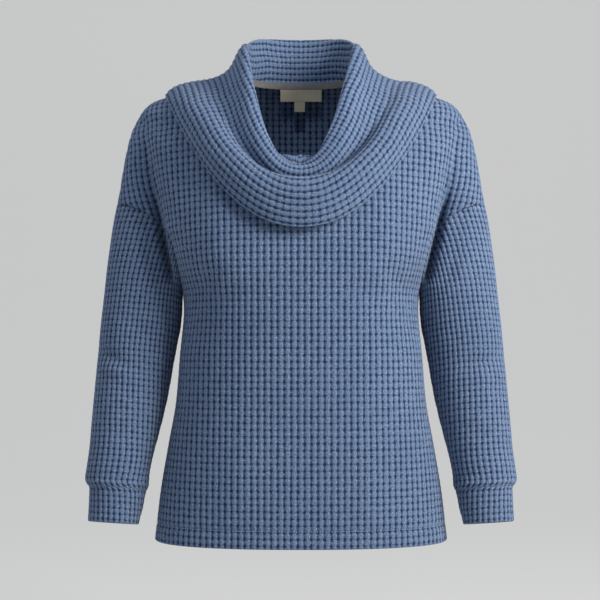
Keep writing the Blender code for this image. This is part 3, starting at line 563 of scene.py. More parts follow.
def bodyHalves(node, facing):
    rows, seam = body["rows"], cloth["seam"]
    heights = np.linspace(body["hem"], body["shoulderPoint"], rows)
    armZ, armX, armY = armholeCurve()
    share = np.linspace(0, 1, cloth["lineSteps"] + 1)
    points = np.zeros((rows, len(share), 3))
    for r, z in enumerate(heights):
        endX = torsoHalfWidth(z) if z < armZ[0] else np.interp(z, armZ, armX) if z < armZ[-1] else outlineX(z)
        x = endX * np.sin(math.pi / 2 * share)
        y = seamY(x, z) + facing * (bodyDepth(facing, x, z) + seam / 2)
        if armZ[0] < z < armZ[-1]:
            y = y + (np.interp(z, armZ, armY[facing]) - y[-1]) * share ** body["armholePull"]
        points[r] = np.stack([x, y, np.full_like(x, z)], axis=1)
    u, v = lengthAlong(points, 1), np.zeros((rows, len(share)))
    for r in range(1, rows):                        # v grows along the columns, which are lines of equal u
        below = np.stack([np.interp(u[r], u[r - 1], points[r - 1][:, k]) for k in range(3)], axis=1)
        step = np.linalg.norm(points[r] - below, axis=1)
        past = u[r] > u[r - 1, -1]
        step[past] = step[~past][-1]
        v[r] = np.interp(u[r], u[r - 1], v[r - 1]) + step
    normals = gridNormals(points, [0, facing, 0])
    low = points[..., 2] < body["underarm"]
    sideways = np.where(low, share ** body["armholePull"], 0)[..., None]
    normals = unit(normals * (1 - sideways) + sideways * [1, 0, 0])
    normals[0] = unit(normals[0] * [1, 1, 0])
    halves = []
    for sign in (1, -1):
        here, outward = points * [sign, 1, 1], normals * [sign, 1, 1]
        shift = foldShift(node, facing, here) * (1 - share ** body["armholePull"])
        back = turnBackShift(here)[..., None] * [0, 1, 0] if facing < 0 else 0
        halves.append({"points": here - outward * shift[..., None] + back, "normals": outward, "u": u, "v": v,
                       "ceiling": lambda x: necklineAt(facing, x)})
    return halves


def necklineAt(facing, x):                          # height of the neckline, and no limit outside it
    lowest, power = body["neckline"][facing]
    share = np.clip(np.abs(x) / body["neckHalfWidth"], 0, 1)
    return np.where(share < 1, lowest + (body["shoulderPoint"] - lowest) * share ** power, np.inf)


def tubeHalves(node, side, rings, steps):
    # A sleeve or cuff from its lower end up: each half runs from the outer line round to the inner line.
    count = (len(rings) - 1) * steps + 1
    places = np.linspace(len(rings) - 1, 0, count)
    columns = [through(range(len(rings)), [ring[k] for ring in rings], places) for k in range(len(rings[0]))]
    turns = np.linspace(0, math.pi, sleeve["turns"])
    halves = []
    for facing in (-1, 1):
        points = np.array([ringPoints(ring, -facing * turns) for ring in zip(*columns)]) * [side, 1, 1]
        middle = points.mean(axis=1, keepdims=True) * [1, 0, 1] + [0, columns[7][0], 0]
        normals = gridNormals(points, points - middle)
        normals[:, 0] = unit(normals[:, 0] * [1, 0, 1])
        normals[:, -1] = unit(normals[:, -1] * [1, 0, 1])
        fade = ease((places[0] - places)) * ease(places / 2) if node else 0 * places
        shift = foldShift(node, facing, points) * np.abs(np.sin(turns)) * fade[:, None]
        back = turnBackShift(points)[..., None] * [0, 1, 0] if facing < 0 else 0
        halves.append({"points": points - normals * shift[..., None] + back, "normals": normals,
                       "u": lengthAlong(points, 1), "v": lengthAlong(points, 0)})
    return halves


def naturalSpline(knots, places, at):
    gaps, count = np.diff(places), len(places)
    system, right = np.eye(count), np.zeros((count, 3))
    for i in range(1, count - 1):
        system[i, i - 1:i + 2] = gaps[i - 1], 2 * (gaps[i - 1] + gaps[i]), gaps[i]
        right[i] = 6 * ((knots[i + 1] - knots[i]) / gaps[i] - (knots[i] - knots[i - 1]) / gaps[i - 1])
    curve = np.linalg.solve(system, right)
    i = np.clip(np.searchsorted(places, at, side="right") - 1, 0, count - 2)
    gap, b, a = gaps[i][:, None], (at - places[i])[:, None], (places[i + 1] - at)[:, None]
    return ((a ** 3 * curve[i] + b ** 3 * curve[i + 1]) / (6 * gap)
            + (knots[i] / gap - curve[i] * gap / 6) * a + (knots[i + 1] / gap - curve[i + 1] * gap / 6) * b)


def neckRim(turns):                                 # middle of the body's wall along the neckline
    rim = []
    for turn in turns:
        facing, sine = (-1 if math.cos(turn) > 0 else 1), abs(math.sin(turn))
        lowest, power = body["neckline"][facing]
        x, z = body["neckHalfWidth"] * sine, lowest + (body["shoulderPoint"] - lowest) * sine ** power
        y = float(seamY(x, z)) + facing * float(bodyDepth(facing, np.array(x), np.array(z)))
        rim.append([math.copysign(x, math.sin(turn)), y - facing * cloth["layer"] / 2, z])
    return np.array(rim)


def collarRing(name, turns):
    frontY, frontZ, sideX, sideZ, backY, backZ, frontPower, backPower, lift = collar["rings"][name]
    sine, cosine = np.sin(turns), np.cos(turns)
    front, isGroove = cosine > 0, name == "groove"
    x = (sideX + collar["grooveSkew"] * isGroove * sine) * sine
    x = x + collar["sway"].get(name, 0) * np.maximum(cosine, 0)
    endZ = np.where(front, frontZ, backZ)
    climb = np.abs(sine) ** np.where(front, frontPower, backPower)
    z = endZ + (sideZ + collar["grooveDrop"] * isGroove * sine - endZ) * climb
    sideY = 0.0 if lift is None else float(seamY(sideX, sideZ))
    full = np.abs(cosine) ** np.where(front, collar["fullness"].get(name, 1.0), 1.0)
    y = sideY + (np.where(front, frontY, backY) - sideY) * full
    y = y - collar["forward"].get(name, 0.0) * front * np.sin(2 * turns) ** 2
    if lift is not None:
        for facing, here in ((-1, front), (1, ~front)):
            seam = seamY(x, z)
            depth = bodyDepth(facing, x, np.minimum(z, body["shoulderPoint"]))
            depth = (depth + lift) * ease(1 - z / collar["restZ"]) * ease(depth / collar["restDepth"])
            apart = np.maximum(facing * (y - seam), 0)
            pushed = seam + facing * (apart ** body["blend"] + depth ** body["blend"]) ** (1 / body["blend"])
            y = np.where(here & (depth > 0), pushed, y)
    return np.stack([x, y, z], axis=1)


def squareKnit(rows, first, width):                 # u and v whose columns run square to the rows
    along = lengthAlong(rows, 1)
    tangents = unit(np.gradient(rows, axis=1))
    u, v = np.zeros(along.shape), np.zeros(along.shape)
    u[first] = along[first] / along[first, -1] * width

    def opposite(r, before):                        # where each point of row r lies along the row before
        move = rows[r] - rows[before]
        slide = np.sum(move * tangents[before], axis=1)
        slide[[0, -1]] = 0
        rise = np.sqrt(np.maximum(np.sum(move ** 2, axis=1) - slide ** 2, 0))
        return np.maximum.accumulate(np.clip(along[before] + slide, 0, along[before, -1])), rise

    for order in (range(first + 1, len(rows)), range(first - 1, -1, -1)):
        for r in order:
            before = r - (1 if r > first else -1)
            at, rise = opposite(r, before)
            u[r] = np.interp(at, along[before], u[before])
    for r in range(1, len(rows)):
        at, rise = opposite(r, r - 1)
        v[r] = np.interp(at, along[r - 1], v[r - 1]) + rise
    return u, v


def collarHalves():
    # From the free edge up to the neck seam. The side that faces the neck shows on the rolls, so it lies
    # outside.
    halves = []
    names = list(collar["rings"])
    stops = np.linspace(0, len(names), len(names) * collar["steps"] + 1)
    for sign in (1, -1):
        turns = np.linspace(0, math.pi, collar["turns"]) * sign
        rings = {name: collarRing(name, turns) for name in names if collar["rings"][name]}
        close = np.exp(-(np.abs(turns) / collar["valleyWidth"]) ** 4)
        rings["valley"] = (rings["lip"] + rings["crest"]) / 2 + close[:, None] * collar["valleyFront"]
        knots = np.array([neckRim(turns)] + [rings[name] for name in names])
        rows = []
        for i in range(knots.shape[1]):
            line = knots[:, i]
            places = np.concatenate([[0], np.cumsum(np.sqrt(np.linalg.norm(np.diff(line, axis=0), axis=1)))])
            rows.append(naturalSpline(line, places, np.interp(stops, range(len(places)), places)))
        middle = np.array(rows).transpose(1, 0, 2)[::-1]
        normals = unit(np.cross(np.gradient(middle, axis=1), np.gradient(middle, axis=0)))
        flip = 1 if normals[-1, 0, 1] > 0 else -1   # towards the neck at the front neck seam
        normals = normals * flip
        normals[:, 0] = unit(normals[:, 0] * [0, 1, 1])
        normals[:, -1] = unit(normals[:, -1] * [0, 1, 1])
        first = (len(names) - 1 - names.index(collar["knitFrom"])) * collar["steps"]
        u, v = squareKnit(middle, first, collar["halfCells"] * collar["cell"][0])
        even = lengthAlong(middle, 1)
        u = collar["square"] * u + (1 - collar["square"]) * u.max() * even / even[:, -1:]
        shift = foldShift("collar", -1, middle) * np.maximum(np.cos(turns), 0) ** 0.3
        middle = middle - normals * shift[..., None]
        halves.append({"points": middle + normals * cloth["layer"] / 2, "normals": normals, "u": u, "v": v})
    for column in (0, -1):
        for field in ("points", "v"):
            halves[1][field][:, column] = halves[0][field][:, column]
    return halves


def addNode(tree, kind, inputs=(), **settings):     # a node whose inputs are values or other nodes' outputs
    made = tree.nodes.new(kind)
    for name, value in settings.items():
        setattr(made, name, value)
    for slot, value in dict(inputs).items():
        if isinstance(value, bpy.types.NodeSocket):
            tree.links.new(value, made.inputs[slot])
        else:
            made.inputs[slot].default_value = value
    return made


def calc(tree, operation, a, b=0.0, c=0.0):
    return addNode(tree, "ShaderNodeMath", {0: a, 1: b, 2: c}, operation=operation).outputs[0]


def vectorCalc(tree, operation, a, b):
    slots = {0: a, "Scale" if operation == "SCALE" else 1: b}
    return addNode(tree, "ShaderNodeVectorMath", slots, operation=operation).outputs[0]


def swell(tree, turns, power):                      # 1 at each whole number and 0 half way between
    wave = calc(tree, "COSINE", calc(tree, "MULTIPLY", turns, 2 * math.pi))
    return calc(tree, "POWER", calc(tree, "MULTIPLY_ADD", wave, 0.5, 0.5), power)


def mixColour(tree, factor, a, b):
    return addNode(tree, "ShaderNodeMix", {0: factor, 6: a, 7: b}, data_type="RGBA").outputs[2]


def plainMaterial(name, colour, roughness, others=()):
    material = bpy.data.materials.new(name)
    material.use_nodes = True
    shader = material.node_tree.nodes["Principled BSDF"]
    for socket, value in {"Base Color": colour, "Roughness": roughness, **dict(others)}.items():
        shader.inputs[socket].default_value = value
    return material


def paint(tree, tone, height, bump):                # a pattern's colour and height, into the shader
    shader = tree.nodes["Principled BSDF"]
    tree.links.new(tone, shader.inputs["Base Color"])
    raised = addNode(tree, "ShaderNodeBump", {"Strength": bump[0], "Distance": bump[1], "Height": height})
    tree.links.new(raised.outputs[0], shader.inputs["Normal"])


yarn = {
    # rib is the yarn's colour; ground is its darker tone and also painted shade in the hollows; pit is a
    # near-black painted shadow in the pits
    "rib": (0.094, 0.147, 0.255, 1),
    "groundAndHollowShade": (0.044, 0.079, 0.160, 1),
    "paintedPitShade": (0.010, 0.023, 0.070, 1),
    "heather": (0.262, 0.338, 0.478, 1),
    "groovePaintedShade": 0.63,         # painted shade in the grooves between columns, beside that in the pits
    "barPaintedShade": 0.42,            # and the painted shade in the lines between rows
    "grooveWidth": 2.5,         # higher is narrower
    "barWidth": 3.2,
    "wander": 0.24,             # how unevenly the cells lie, in cells
    "grain": (6.0, 3.4, 1.0),   # flecks in each cell, across and up
    "roughness": 0.93,
    "shine": {"Sheen Weight": 0.12, "Sheen Roughness": 0.5, "Specular IOR Level": 0.12},
    "bump": (0.8, 0.0013),      # strength and depth
}


def noise(tree, vector, scale, detail=2.0, roughness=0.5):
    inputs = {"Vector": vector, "Scale": scale, "Detail": detail, "Roughness": roughness}
    return addNode(tree, "ShaderNodeTexNoise", inputs)


def spanOf(tree, value, low, high, start=0.0, end=1.0):
    inputs = {"Value": value, "From Min": low, "From Max": high, "To Min": start, "To Max": end}
    return addNode(tree, "ShaderNodeMapRange", inputs).outputs[0]


def knitMaterial(name, colours):
    material = plainMaterial(name, colours["rib"], colours["roughness"], colours["shine"])
    tree = material.node_tree
    place = addNode(tree, "ShaderNodeTexCoord").outputs["Object"]
    knit = addNode(tree, "ShaderNodeUVMap", {}, uv_map="knit").outputs["UV"]
    drift = vectorCalc(tree, "SUBTRACT", noise(tree, place, 80.0, 1.5).outputs["Color"], (0.5, 0.5, 0.5))
    knit = vectorCalc(tree, "ADD", knit, vectorCalc(tree, "SCALE", drift, colours["wander"]))
    split = addNode(tree, "ShaderNodeSeparateXYZ", {0: knit})
    u, v = split.outputs[0], split.outputs[1]
    column, row = swell(tree, u, 1.0), swell(tree, v, 1.0)
    offColumn, offRow = calc(tree, "SUBTRACT", 1.0, column), calc(tree, "SUBTRACT", 1.0, row)
    groove = calc(tree, "POWER", offColumn, colours["grooveWidth"])
    bar = calc(tree, "POWER", offRow, colours["barWidth"])
    grain = noise(tree, vectorCalc(tree, "MULTIPLY", knit, colours["grain"]), 1.0, 3.0, 0.65).outputs["Fac"]
    fibres = noise(tree, place, 1400.0, 2.0, 0.7).outputs["Fac"]
    uneven = noise(tree, place, 95.0, 1.0).outputs["Fac"]
    patches = noise(tree, place, 9.0).outputs["Fac"]
    stitches = calc(tree, "MULTIPLY", swell(tree, calc(tree, "MULTIPLY", v, 3.0), 1.0), column)
    # Painted shade: the grooves, the lines between rows and the pits are darkened in colour, as shade falls
    # in the hollows, varied at random by uneven and grain; the same mask also sinks the bump
    depth = calc(tree, "MULTIPLY", offRow, 1.0 - colours["groovePaintedShade"])
    depth = calc(tree, "MULTIPLY", groove, calc(tree, "ADD", depth, colours["groovePaintedShade"]))
    hollowShade = calc(tree, "ADD", depth, calc(tree, "MULTIPLY", bar, colours["barPaintedShade"]))
    hollowShade = calc(tree, "MULTIPLY", hollowShade, spanOf(tree, uneven, 0.3, 0.7, 0.72, 1.12))
    hollowShade = calc(tree, "ADD", hollowShade, spanOf(tree, grain, 0.3, 0.7, 0.24, -0.24))
    tone = mixColour(tree, spanOf(tree, grain, 0.46, 0.70, 0.0, 0.85), colours["rib"], colours["heather"])
    tone = mixColour(tree, spanOf(tree, grain, 0.46, 0.30, 0.0, 0.55), tone, colours["groundAndHollowShade"])
    tone = mixColour(tree, spanOf(tree, fibres, 0.40, 0.75, 0.0, 0.30), tone, colours["heather"])
    tone = mixColour(tree, spanOf(tree, patches, 0.35, 0.75, 0.0, 0.22), tone, colours["groundAndHollowShade"])
    # painted shade in the hollows towards the ground colour, and a near-black painted shadow in the pits
    tone = mixColour(tree, spanOf(tree, hollowShade, 0.10, 0.55, 0.0, 0.80), tone, colours["groundAndHollowShade"])
    tone = mixColour(tree, spanOf(tree, hollowShade, 0.42, 0.95, 0.0, 0.95), tone, colours["paintedPitShade"])
    height = calc(tree, "MULTIPLY_ADD", hollowShade, -0.5, calc(tree, "MULTIPLY", stitches, 0.25))
    height = calc(tree, "MULTIPLY_ADD", grain, 0.80, height)
    height = calc(tree, "MULTIPLY_ADD", fibres, 0.25, height)
    paint(tree, tone, height, colours["bump"])
    return material


def startTree(name, inputs):                        # a node tree and its named inputs
    tree = bpy.data.node_groups.new(name, "GeometryNodeTree")
    for label, kind in {"Geometry": "Geometry", **inputs, "Material": "Material"}.items():
        tree.interface.new_socket(label, in_out="INPUT", socket_type="NodeSocket" + kind)
    tree.interface.new_socket("Geometry", in_out="OUTPUT", socket_type="NodeSocketGeometry")
    return tree, tree.nodes.new("NodeGroupInput").outputs


def endTree(tree, made, finish):
    real = addNode(tree, "GeometryNodeRealizeInstances", {"Geometry": made.outputs[0]})
    painted = addNode(tree, "GeometryNodeSetMaterial", {"Geometry": real.outputs[0], "Material": finish})
    out = tree.nodes.new("NodeGroupOutput")
    tree.links.new(painted.outputs[0], out.inputs[0])
    return tree


def reliefTree():
    # Raises the ribs of the waffle and sinks its pits, by the knit coordinates kept on each point.
    tree, given = startTree("waffle relief", {"Depth": "Float", "Base": "Float", "Rib width": "Float",
                                              "Groove share": "Float", "Row dip": "Float"})
    weave = addNode(tree, "GeometryNodeInputNamedAttribute", {"Name": "weave"}, data_type="FLOAT_VECTOR")
    split = addNode(tree, "ShaderNodeSeparateXYZ", {0: weave.outputs[0]})
    column = swell(tree, split.outputs[0], given["Rib width"])
    row = swell(tree, split.outputs[1], given["Rib width"])
    offColumn, offRow = calc(tree, "SUBTRACT", 1.0, column), calc(tree, "SUBTRACT", 1.0, row)
    deeper = calc(tree, "MULTIPLY", offRow, calc(tree, "SUBTRACT", 1.0, given["Groove share"]))
    hollow = calc(tree, "MULTIPLY", offColumn, calc(tree, "ADD", deeper, given["Groove share"]))
    dip = calc(tree, "MULTIPLY", calc(tree, "MULTIPLY", offRow, column), given["Row dip"])
    hollow = calc(tree, "ADD", hollow, dip)
    height = calc(tree, "SUBTRACT", calc(tree, "SUBTRACT", 1.0, hollow), given["Base"])
    height = calc(tree, "MULTIPLY", calc(tree, "MULTIPLY", height, given["Depth"]), split.outputs[2])
    move = vectorCalc(tree, "SCALE", addNode(tree, "GeometryNodeInputNormal").outputs[0], height)
    moved = addNode(tree, "GeometryNodeSetPosition", {"Geometry": given["Geometry"], "Offset": move})
    return endTree(tree, moved, given["Material"])


def settle(piece):                                  # what the piece's modifiers make, as a plain mesh
    piece.update_tag()
    graph = bpy.context.evaluated_depsgraph_get()
    mesh = bpy.data.meshes.new_from_object(piece.evaluated_get(graph))
    piece.modifiers.clear()
    mesh.name = piece.name
    return mesh


def runTree(piece, tree, values):                   # the result of a node tree as the piece's plain mesh
    modifier = piece.modifiers.new(tree.name, "NODES")
    modifier.node_group = tree
    for item in tree.interface.items_tree:
        if item.in_out == "INPUT" and item.name in values:
            modifier[item.identifier] = values[item.name]
    return settle(piece)


def stitchTree():
    # Small rounded stitches, one after another along each line of edges.
    tree, given = startTree("stitches", {"Spacing": "Float", "Size": "Vector", "Uneven": "Float",
                                         "Seed": "Int"})
    curve = addNode(tree, "GeometryNodeMeshToCurve", {"Mesh": given["Geometry"]})
    spots = addNode(tree, "GeometryNodeCurveToPoints",
                    {"Curve": curve.outputs[0], "Length": given["Spacing"]}, mode="LENGTH")
    ball = addNode(tree, "GeometryNodeMeshUVSphere", {"Segments": 6, "Rings": 5, "Radius": 0.5})
    turn = addNode(tree, "FunctionNodeAlignRotationToVector", {"Vector": spots.outputs["Tangent"]}, axis="Z")
    low = calc(tree, "SUBTRACT", 1.0, given["Uneven"])
    chance = addNode(tree, "FunctionNodeRandomValue", {"Min": low, "Max": 1.0, "Seed": given["Seed"]},
                     data_type="FLOAT")
    value = [out for out in chance.outputs if out.enabled][0]
    size = vectorCalc(tree, "SCALE", given["Size"], value)
    placed = addNode(tree, "GeometryNodeInstanceOnPoints",
                     {"Points": spots.outputs["Points"], "Instance": ball.outputs["Mesh"],
                      "Rotation": turn.outputs[0], "Scale": size})
    return endTree(tree, placed, given["Material"])


def sewAlong(name, lines, thread, finish):          # stitches on one or more lines of points
    points, edges = [], []
    for line in lines:
        edges += [(len(points) + i, len(points) + i + 1) for i in range(len(line) - 1)]
        points += np.asarray(line).tolist()
    piece = inScene(name, meshOf(name, points, edges, []))
    piece.data = runTree(piece, sewing, {"Spacing": thread["spacing"], "Size": thread["size"], "Seed": 7,
                                         "Uneven": thread["uneven"], "Material": finish})
    if not piece.data.materials:
        piece.data.materials.append(finish)
    piece.data.shade_smooth()
    print(name, "sewn:", len(piece.data.polygons), "faces")
    return piece


def lineAt(halves, height, lift):                   # along a piece at one height of v, from side to side
    lines = []
    for half in halves:
        raised, v = half["points"] + half["normals"] * lift, half["v"]
        lines.append(np.array([[np.interp(height, v[:, c], raised[:, c, k]) for k in range(3)]
                               for c in range(v.shape[1])]))
    return np.concatenate([lines[1][::-1], lines[0][1:]])


def ribbon(name, grid, thickness, finish):          # a thin woven strip, its rim rounded
    rows, columns = grid.shape[:2]
    u, v = lengthAlong(grid, 1), lengthAlong(grid, 0)
    faces = [(r * columns + c, r * columns + c + 1, (r + 1) * columns + c + 1, (r + 1) * columns + c)
             for r in range(rows - 1) for c in range(columns - 1)]
    mesh = meshOf(name, grid.reshape(-1, 3).tolist(), [], faces)
    weft = np.stack([u, v], axis=2).reshape(-1, 2)
    mesh.uv_layers.new(name="weft").data.foreach_set("uv", weft[np.ravel(faces)].ravel())
    mesh.materials.append(finish)
    piece = inScene(name, mesh)
    wall = piece.modifiers.new("wall", "SOLIDIFY")
    wall.thickness, wall.offset = thickness, 0
    rim = piece.modifiers.new("rim", "BEVEL")
    rim.width, rim.segments, rim.limit_method = thickness * 0.3, 2, "ANGLE"
    piece.data = settle(piece)
    piece.data.shade_smooth()
    print(name, "cut:", len(piece.data.polygons), "faces")
    return piece


def wovenMaterial(name, colours):                   # slanted threads, which turn half way up a strip
    shine = {"Sheen Weight": colours["sheen"], "Specular IOR Level": colours["specular"]}
    material = plainMaterial(name, colours["thread"], colours["roughness"], shine)
    tree = material.node_tree
    place = addNode(tree, "ShaderNodeTexCoord").outputs["Object"]
    weft = addNode(tree, "ShaderNodeUVMap", {}, uv_map="weft").outputs[0]
    split = addNode(tree, "ShaderNodeSeparateXYZ", {0: weft})
    u, v = split.outputs[0], split.outputs[1]
    fold = calc(tree, "ABSOLUTE", calc(tree, "SUBTRACT", v, colours["turnsAt"]))
    slant = calc(tree, "MULTIPLY_ADD", fold, colours["slant"], u)
    twill = swell(tree, calc(tree, "DIVIDE", slant, colours["pitch"]), 1.0)
    threads = swell(tree, calc(tree, "DIVIDE", v, colours["threads"]), 1.0)
    fibres = noise(tree, place, 1800.0, 2.0, 0.7).outputs["Fac"]
    patches = noise(tree, place, 60.0).outputs["Fac"]
    tone = mixColour(tree, calc(tree, "MULTIPLY", twill, 0.75), colours["shade"], colours["thread"])
    tone = mixColour(tree, spanOf(tree, fibres, 0.40, 0.75, 0.0, 0.45), tone, colours["fleck"])
    tone = mixColour(tree, spanOf(tree, patches, 0.35, 0.75, 0.0, 0.35), tone, colours["shade"])
    height = calc(tree, "MULTIPLY_ADD", twill, 0.7, calc(tree, "MULTIPLY", threads, 0.4))
    height = calc(tree, "MULTIPLY_ADD", fibres, 0.4, height)
    paint(tree, tone, height, colours["bump"])
    return material


def wear(piece, node):
    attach(piece, "root")
    if node:
        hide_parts(node)


def cutSize(halves):                                # width and length of the cut that shows, and its area
    area = 0.0
    for half in halves:
        p = half["points"]
        cells = np.linalg.norm(np.cross(p[1:, 1:] - p[:-1, :-1], p[1:, :-1] - p[:-1, 1:]), axis=2) / 2
        if "ceiling" in half:
            cells = cells * (p[:-1, :-1, 2] < half["ceiling"](p[:-1, :-1, 0]))
        area += cells.sum()
    width = float(sum(half["u"].max() for half in halves))
    length = float(max(half["v"].max() for half in halves))
    return width, length, float(min(area, width * length))


def evenWall(thickness):
    return lambda v: np.full_like(v, thickness)


def panelWall(v):                                   # two layers up to the hem's stitches
    return np.where(v < body["hemStitch"], body["hemWall"], cloth["layer"])


knitBlue = knitMaterial("waffle knit", yarn)
waffle, sewing = reliefTree(), stitchTree()
pieces, cuts = {}, {}


def make(node, name, halves, *details, **others):
    pieces[node] = cutCloth(name, halves, *details, **others)
    cuts[node] = cutSize(halves)
    wear(pieces[node], node)


bodyHalf = {node: bodyHalves(node, facing) for node, facing in (("front", -1), ("back", 1))}
hemDip = body["hemStitch"], body["hemDip"], body["hemDipReach"]
for node, halves in bodyHalf.items():
    make(node, node + "_panel", halves, body["cell"], False, panelWall, body["hemWall"], [hemDip])
cuffDip = 0.0, sleeve["cuffDip"], sleeve["cuffDipReach"]
for word, side in (("left", 1), ("right", -1)):
    node = "sleeve_" + word
    halves = tubeHalves(node, side, sleeve["rings"], sleeve["steps"])
    make(node, node + "_tube", halves, sleeve["cell"], True, evenWall(cloth["layer"]), 0, [cuffDip])
    node = "cuff_" + word
    halves = tubeHalves("", side, cuff["rings"], cuff["steps"])
    make(node, node + "_band", halves, cuff["cell"], True, evenWall(cuff["wall"]), cuff["wall"],
         seamDip=cuff["seamDip"])
collarHalf = collarHalves()
make("collar", "cowl_collar", collarHalf, collar["cell"], True, evenWall(cloth["layer"]), cloth["layer"],
     turned=True)

# The tape lies on the collar's neck side over the back neck seam. The label hangs from it, and the tab hangs
# from the label.
tape = {
    "height": 0.010,
    "belowSeam": 0.0052,
    "thickness": 0.0009,
    "clear": 0.0011,
    "starts": 102,              # degrees round the neck from its front, on each side
    "columns": 120,
    "rows": 9,
    "thread": (0.235, 0.224, 0.218, 1),
    "shade": (0.105, 0.098, 0.096, 1),
    "fleck": (0.310, 0.302, 0.298, 1),
    "pitch": 0.0019,
    "threads": 0.0008,
    "slant": 1.0,
    "turnsAt": 0.005,           # the threads' slant turns at this height
    "roughness": 0.85,
    "sheen": 0.15,
    "specular": 0.3,
    "bump": (0.7, 0.0003),
}
label = {
    "size": (0.063, 0.018),
    "tabSize": (0.016, 0.015),
    "tabShift": -0.002,
    "lean": 0.10,
    "gap": 0.0003,
    "thickness": 0.0008,
    "columns": 40,
    "rows": 14,
    "thread": (0.470, 0.420, 0.310, 1),
    "shade": (0.320, 0.282, 0.205, 1),
    "fleck": (0.580, 0.530, 0.420, 1),
    "pitch": 0.0010,
    "threads": 0.0005,
    "slant": 0.0,
    "turnsAt": 0.0,
    "roughness": 0.62,
    "sheen": 0.25,
    "specular": 0.3,
    "bump": (0.7, 0.0003),
}
thread = {
    "hem": {"spacing": 0.0042, "size": (0.0011, 0.0011, 0.0036), "uneven": 0.25, "lift": 0.0004},
    "trim": {"spacing": 0.0024, "size": (0.0005, 0.0005, 0.0019), "uneven": 0.15},
    "trimInset": 0.0011,
    "hemColour": (0.215, 0.285, 0.420, 1),
    "roughness": 0.8,
}


def tapeGrid(lift):                                 # the tape from its lower edge up, lift off its middle
    rows = []
    for half in collarHalf:
        turns = np.degrees(np.linspace(0, math.pi, half["points"].shape[1]))
        columns = []
        for c in np.flatnonzero(turns > tape["starts"]):
            face = half["points"][::-1][:collar["steps"] * 2, c]
            inward = unit(half["normals"][-1, c] * [1, 1, 0])
            z = face[0, 2] - tape["belowSeam"] + np.linspace(0, tape["height"], tape["rows"])
            x, y = (np.interp(z, face[:, 2], face[:, k]) for k in (0, 1))
            columns.append(np.stack([x, y, z], axis=1) + inward * (tape["clear"] + lift))
        rows.append(np.array(columns).transpose(1, 0, 2))
    whole = np.concatenate([rows[1], rows[0][:, -2::-1]], axis=1)
    places = np.linspace(0, whole.shape[1] - 1, tape["columns"])
    steps = range(whole.shape[1])
    return np.array([[[np.interp(place, steps, line[:, k]) for k in range(3)] for place in places]
                     for line in whole])


def hangingGrid(size, shift, top, hungFrom, lift):  # a small flat piece below the tape, leaning back
    line = tapeGrid(0.0)[0]
    line = line[np.argsort(line[:, 0])]
    x = shift + np.linspace(-size[0] / 2, size[0] / 2, label["columns"])
    y = np.interp(x, line[:, 0], line[:, 1])
    return np.array([np.stack([x, y + label["lean"] * (hungFrom - z) - lift, np.full_like(x, z)], axis=1)
                     for z in np.linspace(top - size[1], top, label["rows"])])


def insideEdge(grid, height):                       # the stitches' line beside a strip's first edge
    share = thread["trimInset"] / height
    return grid[0] * (1 - share) + grid[-1] * share


tapeCloth, labelCloth = wovenMaterial("herringbone tape", tape), wovenMaterial("satin label", label)
strip = tapeGrid(0.0)
labelTop = float(strip[0, :, 2].min()) - label["gap"]
tabTop = labelTop - label["size"][1] - label["gap"]
labelGrid = hangingGrid(label["size"], 0.0, labelTop, labelTop, 0.0)
tabGrid = hangingGrid(label["tabSize"], label["tabShift"], tabTop, labelTop, 0.0)
for node, name, grid, details, finish, materialSlot in (
        ("neck_tape", "back_neck_tape", strip, tape, tapeCloth, "neck_tape"),
        ("neck_label", "woven_neck_label", labelGrid, label, labelCloth, "neck_label"),
        ("size_tab", "woven_size_tab", tabGrid, label, labelCloth, "neck_label")):
    pieces[node] = ribbon(name, grid, details["thickness"], finish)
    wear(pieces[node], node)

hemThread = plainMaterial("hem thread", thread["hemColour"], thread["roughness"])
hemStitches = {}
for node, halves in bodyHalf.items():
    line = lineAt(halves, body["hemStitch"], thread["hem"]["lift"])
    hemStitches[node] = sewAlong(node + "_hem_stitches", [line], thread["hem"], hemThread)
topSide = tapeGrid(tape["thickness"] / 2)
tapeLines = [insideEdge(grid, tape["height"]) for grid in (topSide, topSide[::-1])]
tapeStitches = sewAlong("tape_stitches", tapeLines, thread["trim"], tapeCloth)
labelSide = hangingGrid(label["size"], 0.0, labelTop, labelTop, label["thickness"] / 2)
labelLine = insideEdge(labelSide[::-1], label["size"][1])
labelStitches = sewAlong("label_stitches", [labelLine], thread["trim"], labelCloth)
for stitches, slot in ((hemStitches["front"], "waffle_knit"), (hemStitches["back"], "waffle_knit"),
                       (tapeStitches, "neck_tape"), (labelStitches, "neck_label")):
    wear(stitches, None)

print("cloth made:", len(pieces), "pieces")


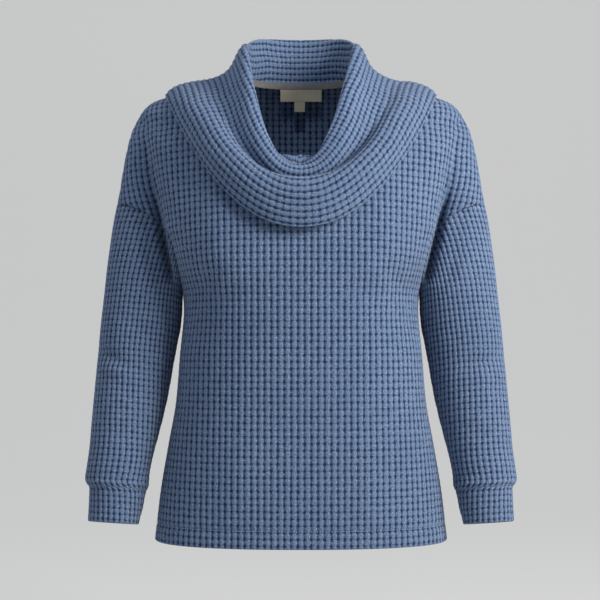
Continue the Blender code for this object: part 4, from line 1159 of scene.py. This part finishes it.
studio = {
    "camera": (-0.0015, -2.6, -0.330),
    "lens": 104,
    "floor": -0.95,
    "wallY": 3.7,               # beyond every view's camera
    "wallHigh": 6.5,
    "wide": 12.0,
    "bend": 1.6,
    "backdrop": (0.20, 0.20, 0.20, 1),
    "backdropGlow": 0.460,
    "key": ((1.52, -1.10, 0.52), 0.9, 65, (1.0, 0.975, 0.920)),      # place, size, watts and colour
    "fill": ((-1.6, -2.3, 0.0), 2.0, 4, (0.86, 0.95, 1.0)),
    "top": ((-1.0, 0.0, 1.3), 1.2, 13, (0.92, 0.97, 1.0)),
    "aim": (0.0, 0.0, -0.30),
    "inside": ((0.0, -1.6, 0.9), 8.5, 40, (0.90, 0.96, 1.0)),        # a spot, its size in degrees
    "insideAim": (0.0, 0.1, -0.165),
    "world": 0.24,
    "sky": (0.86, 0.955, 1.12, 1),
}


def aimAt(thing, target):
    direction = Vector(target) - thing.location
    thing.rotation_euler = direction.to_track_quat("-Z", "Y").to_euler()


def buildStudio():
    scene = bpy.context.scene
    camera = inScene("camera", bpy.data.cameras.new("camera"))
    camera.location = studio["camera"]
    camera.rotation_euler = (math.pi / 2, 0, 0)
    camera.data.lens = studio["lens"]
    scene.camera = camera
    for name, kind in (("key", "AREA"), ("fill", "AREA"), ("top", "AREA"), ("inside", "SPOT")):
        place, size, power, colour = studio[name]
        lamp = inScene(name, bpy.data.lights.new(name, kind))
        lamp.data.energy, lamp.data.color, lamp.location = power, colour, place
        if kind == "AREA":
            lamp.data.size = size
        else:
            lamp.data.spot_size, lamp.data.spot_blend = math.radians(size), 1.0
            lamp.data.shadow_soft_size = 0.02
        aimAt(lamp, studio["aim" if kind == "AREA" else "insideAim"])
    world = bpy.data.worlds.new("soft daylight")
    world.use_nodes = True
    world.node_tree.nodes["Background"].inputs["Color"].default_value = studio["sky"]
    world.node_tree.nodes["Background"].inputs["Strength"].default_value = studio["world"]
    scene.world = world
    scene.view_settings.view_transform = "Standard"
    floor, wallY, high, wide, bend = (studio[name] for name in ("floor", "wallY", "wallHigh", "wide", "bend"))
    profile = [(-wide, floor), (wallY - bend, floor)]
    profile += [(wallY - bend + bend * math.sin(a), floor + bend * (1 - math.cos(a)))
                for a in np.linspace(0, math.pi / 2, 13)[1:]]
    profile += [(wallY, high)]
    points = [(x, y, z) for y, z in profile for x in (-wide, wide)]
    faces = [(2 * i, 2 * i + 1, 2 * i + 3, 2 * i + 2) for i in range(len(profile) - 1)]
    mesh = meshOf("backdrop", points, [], faces)
    glow = {"Emission Color": (1, 1, 1, 1), "Emission Strength": studio["backdropGlow"]}
    mesh.materials.append(plainMaterial("pale paper", studio["backdrop"], 0.95, glow))
    mesh.shade_smooth()
    inScene("backdrop", mesh)


buildStudio()
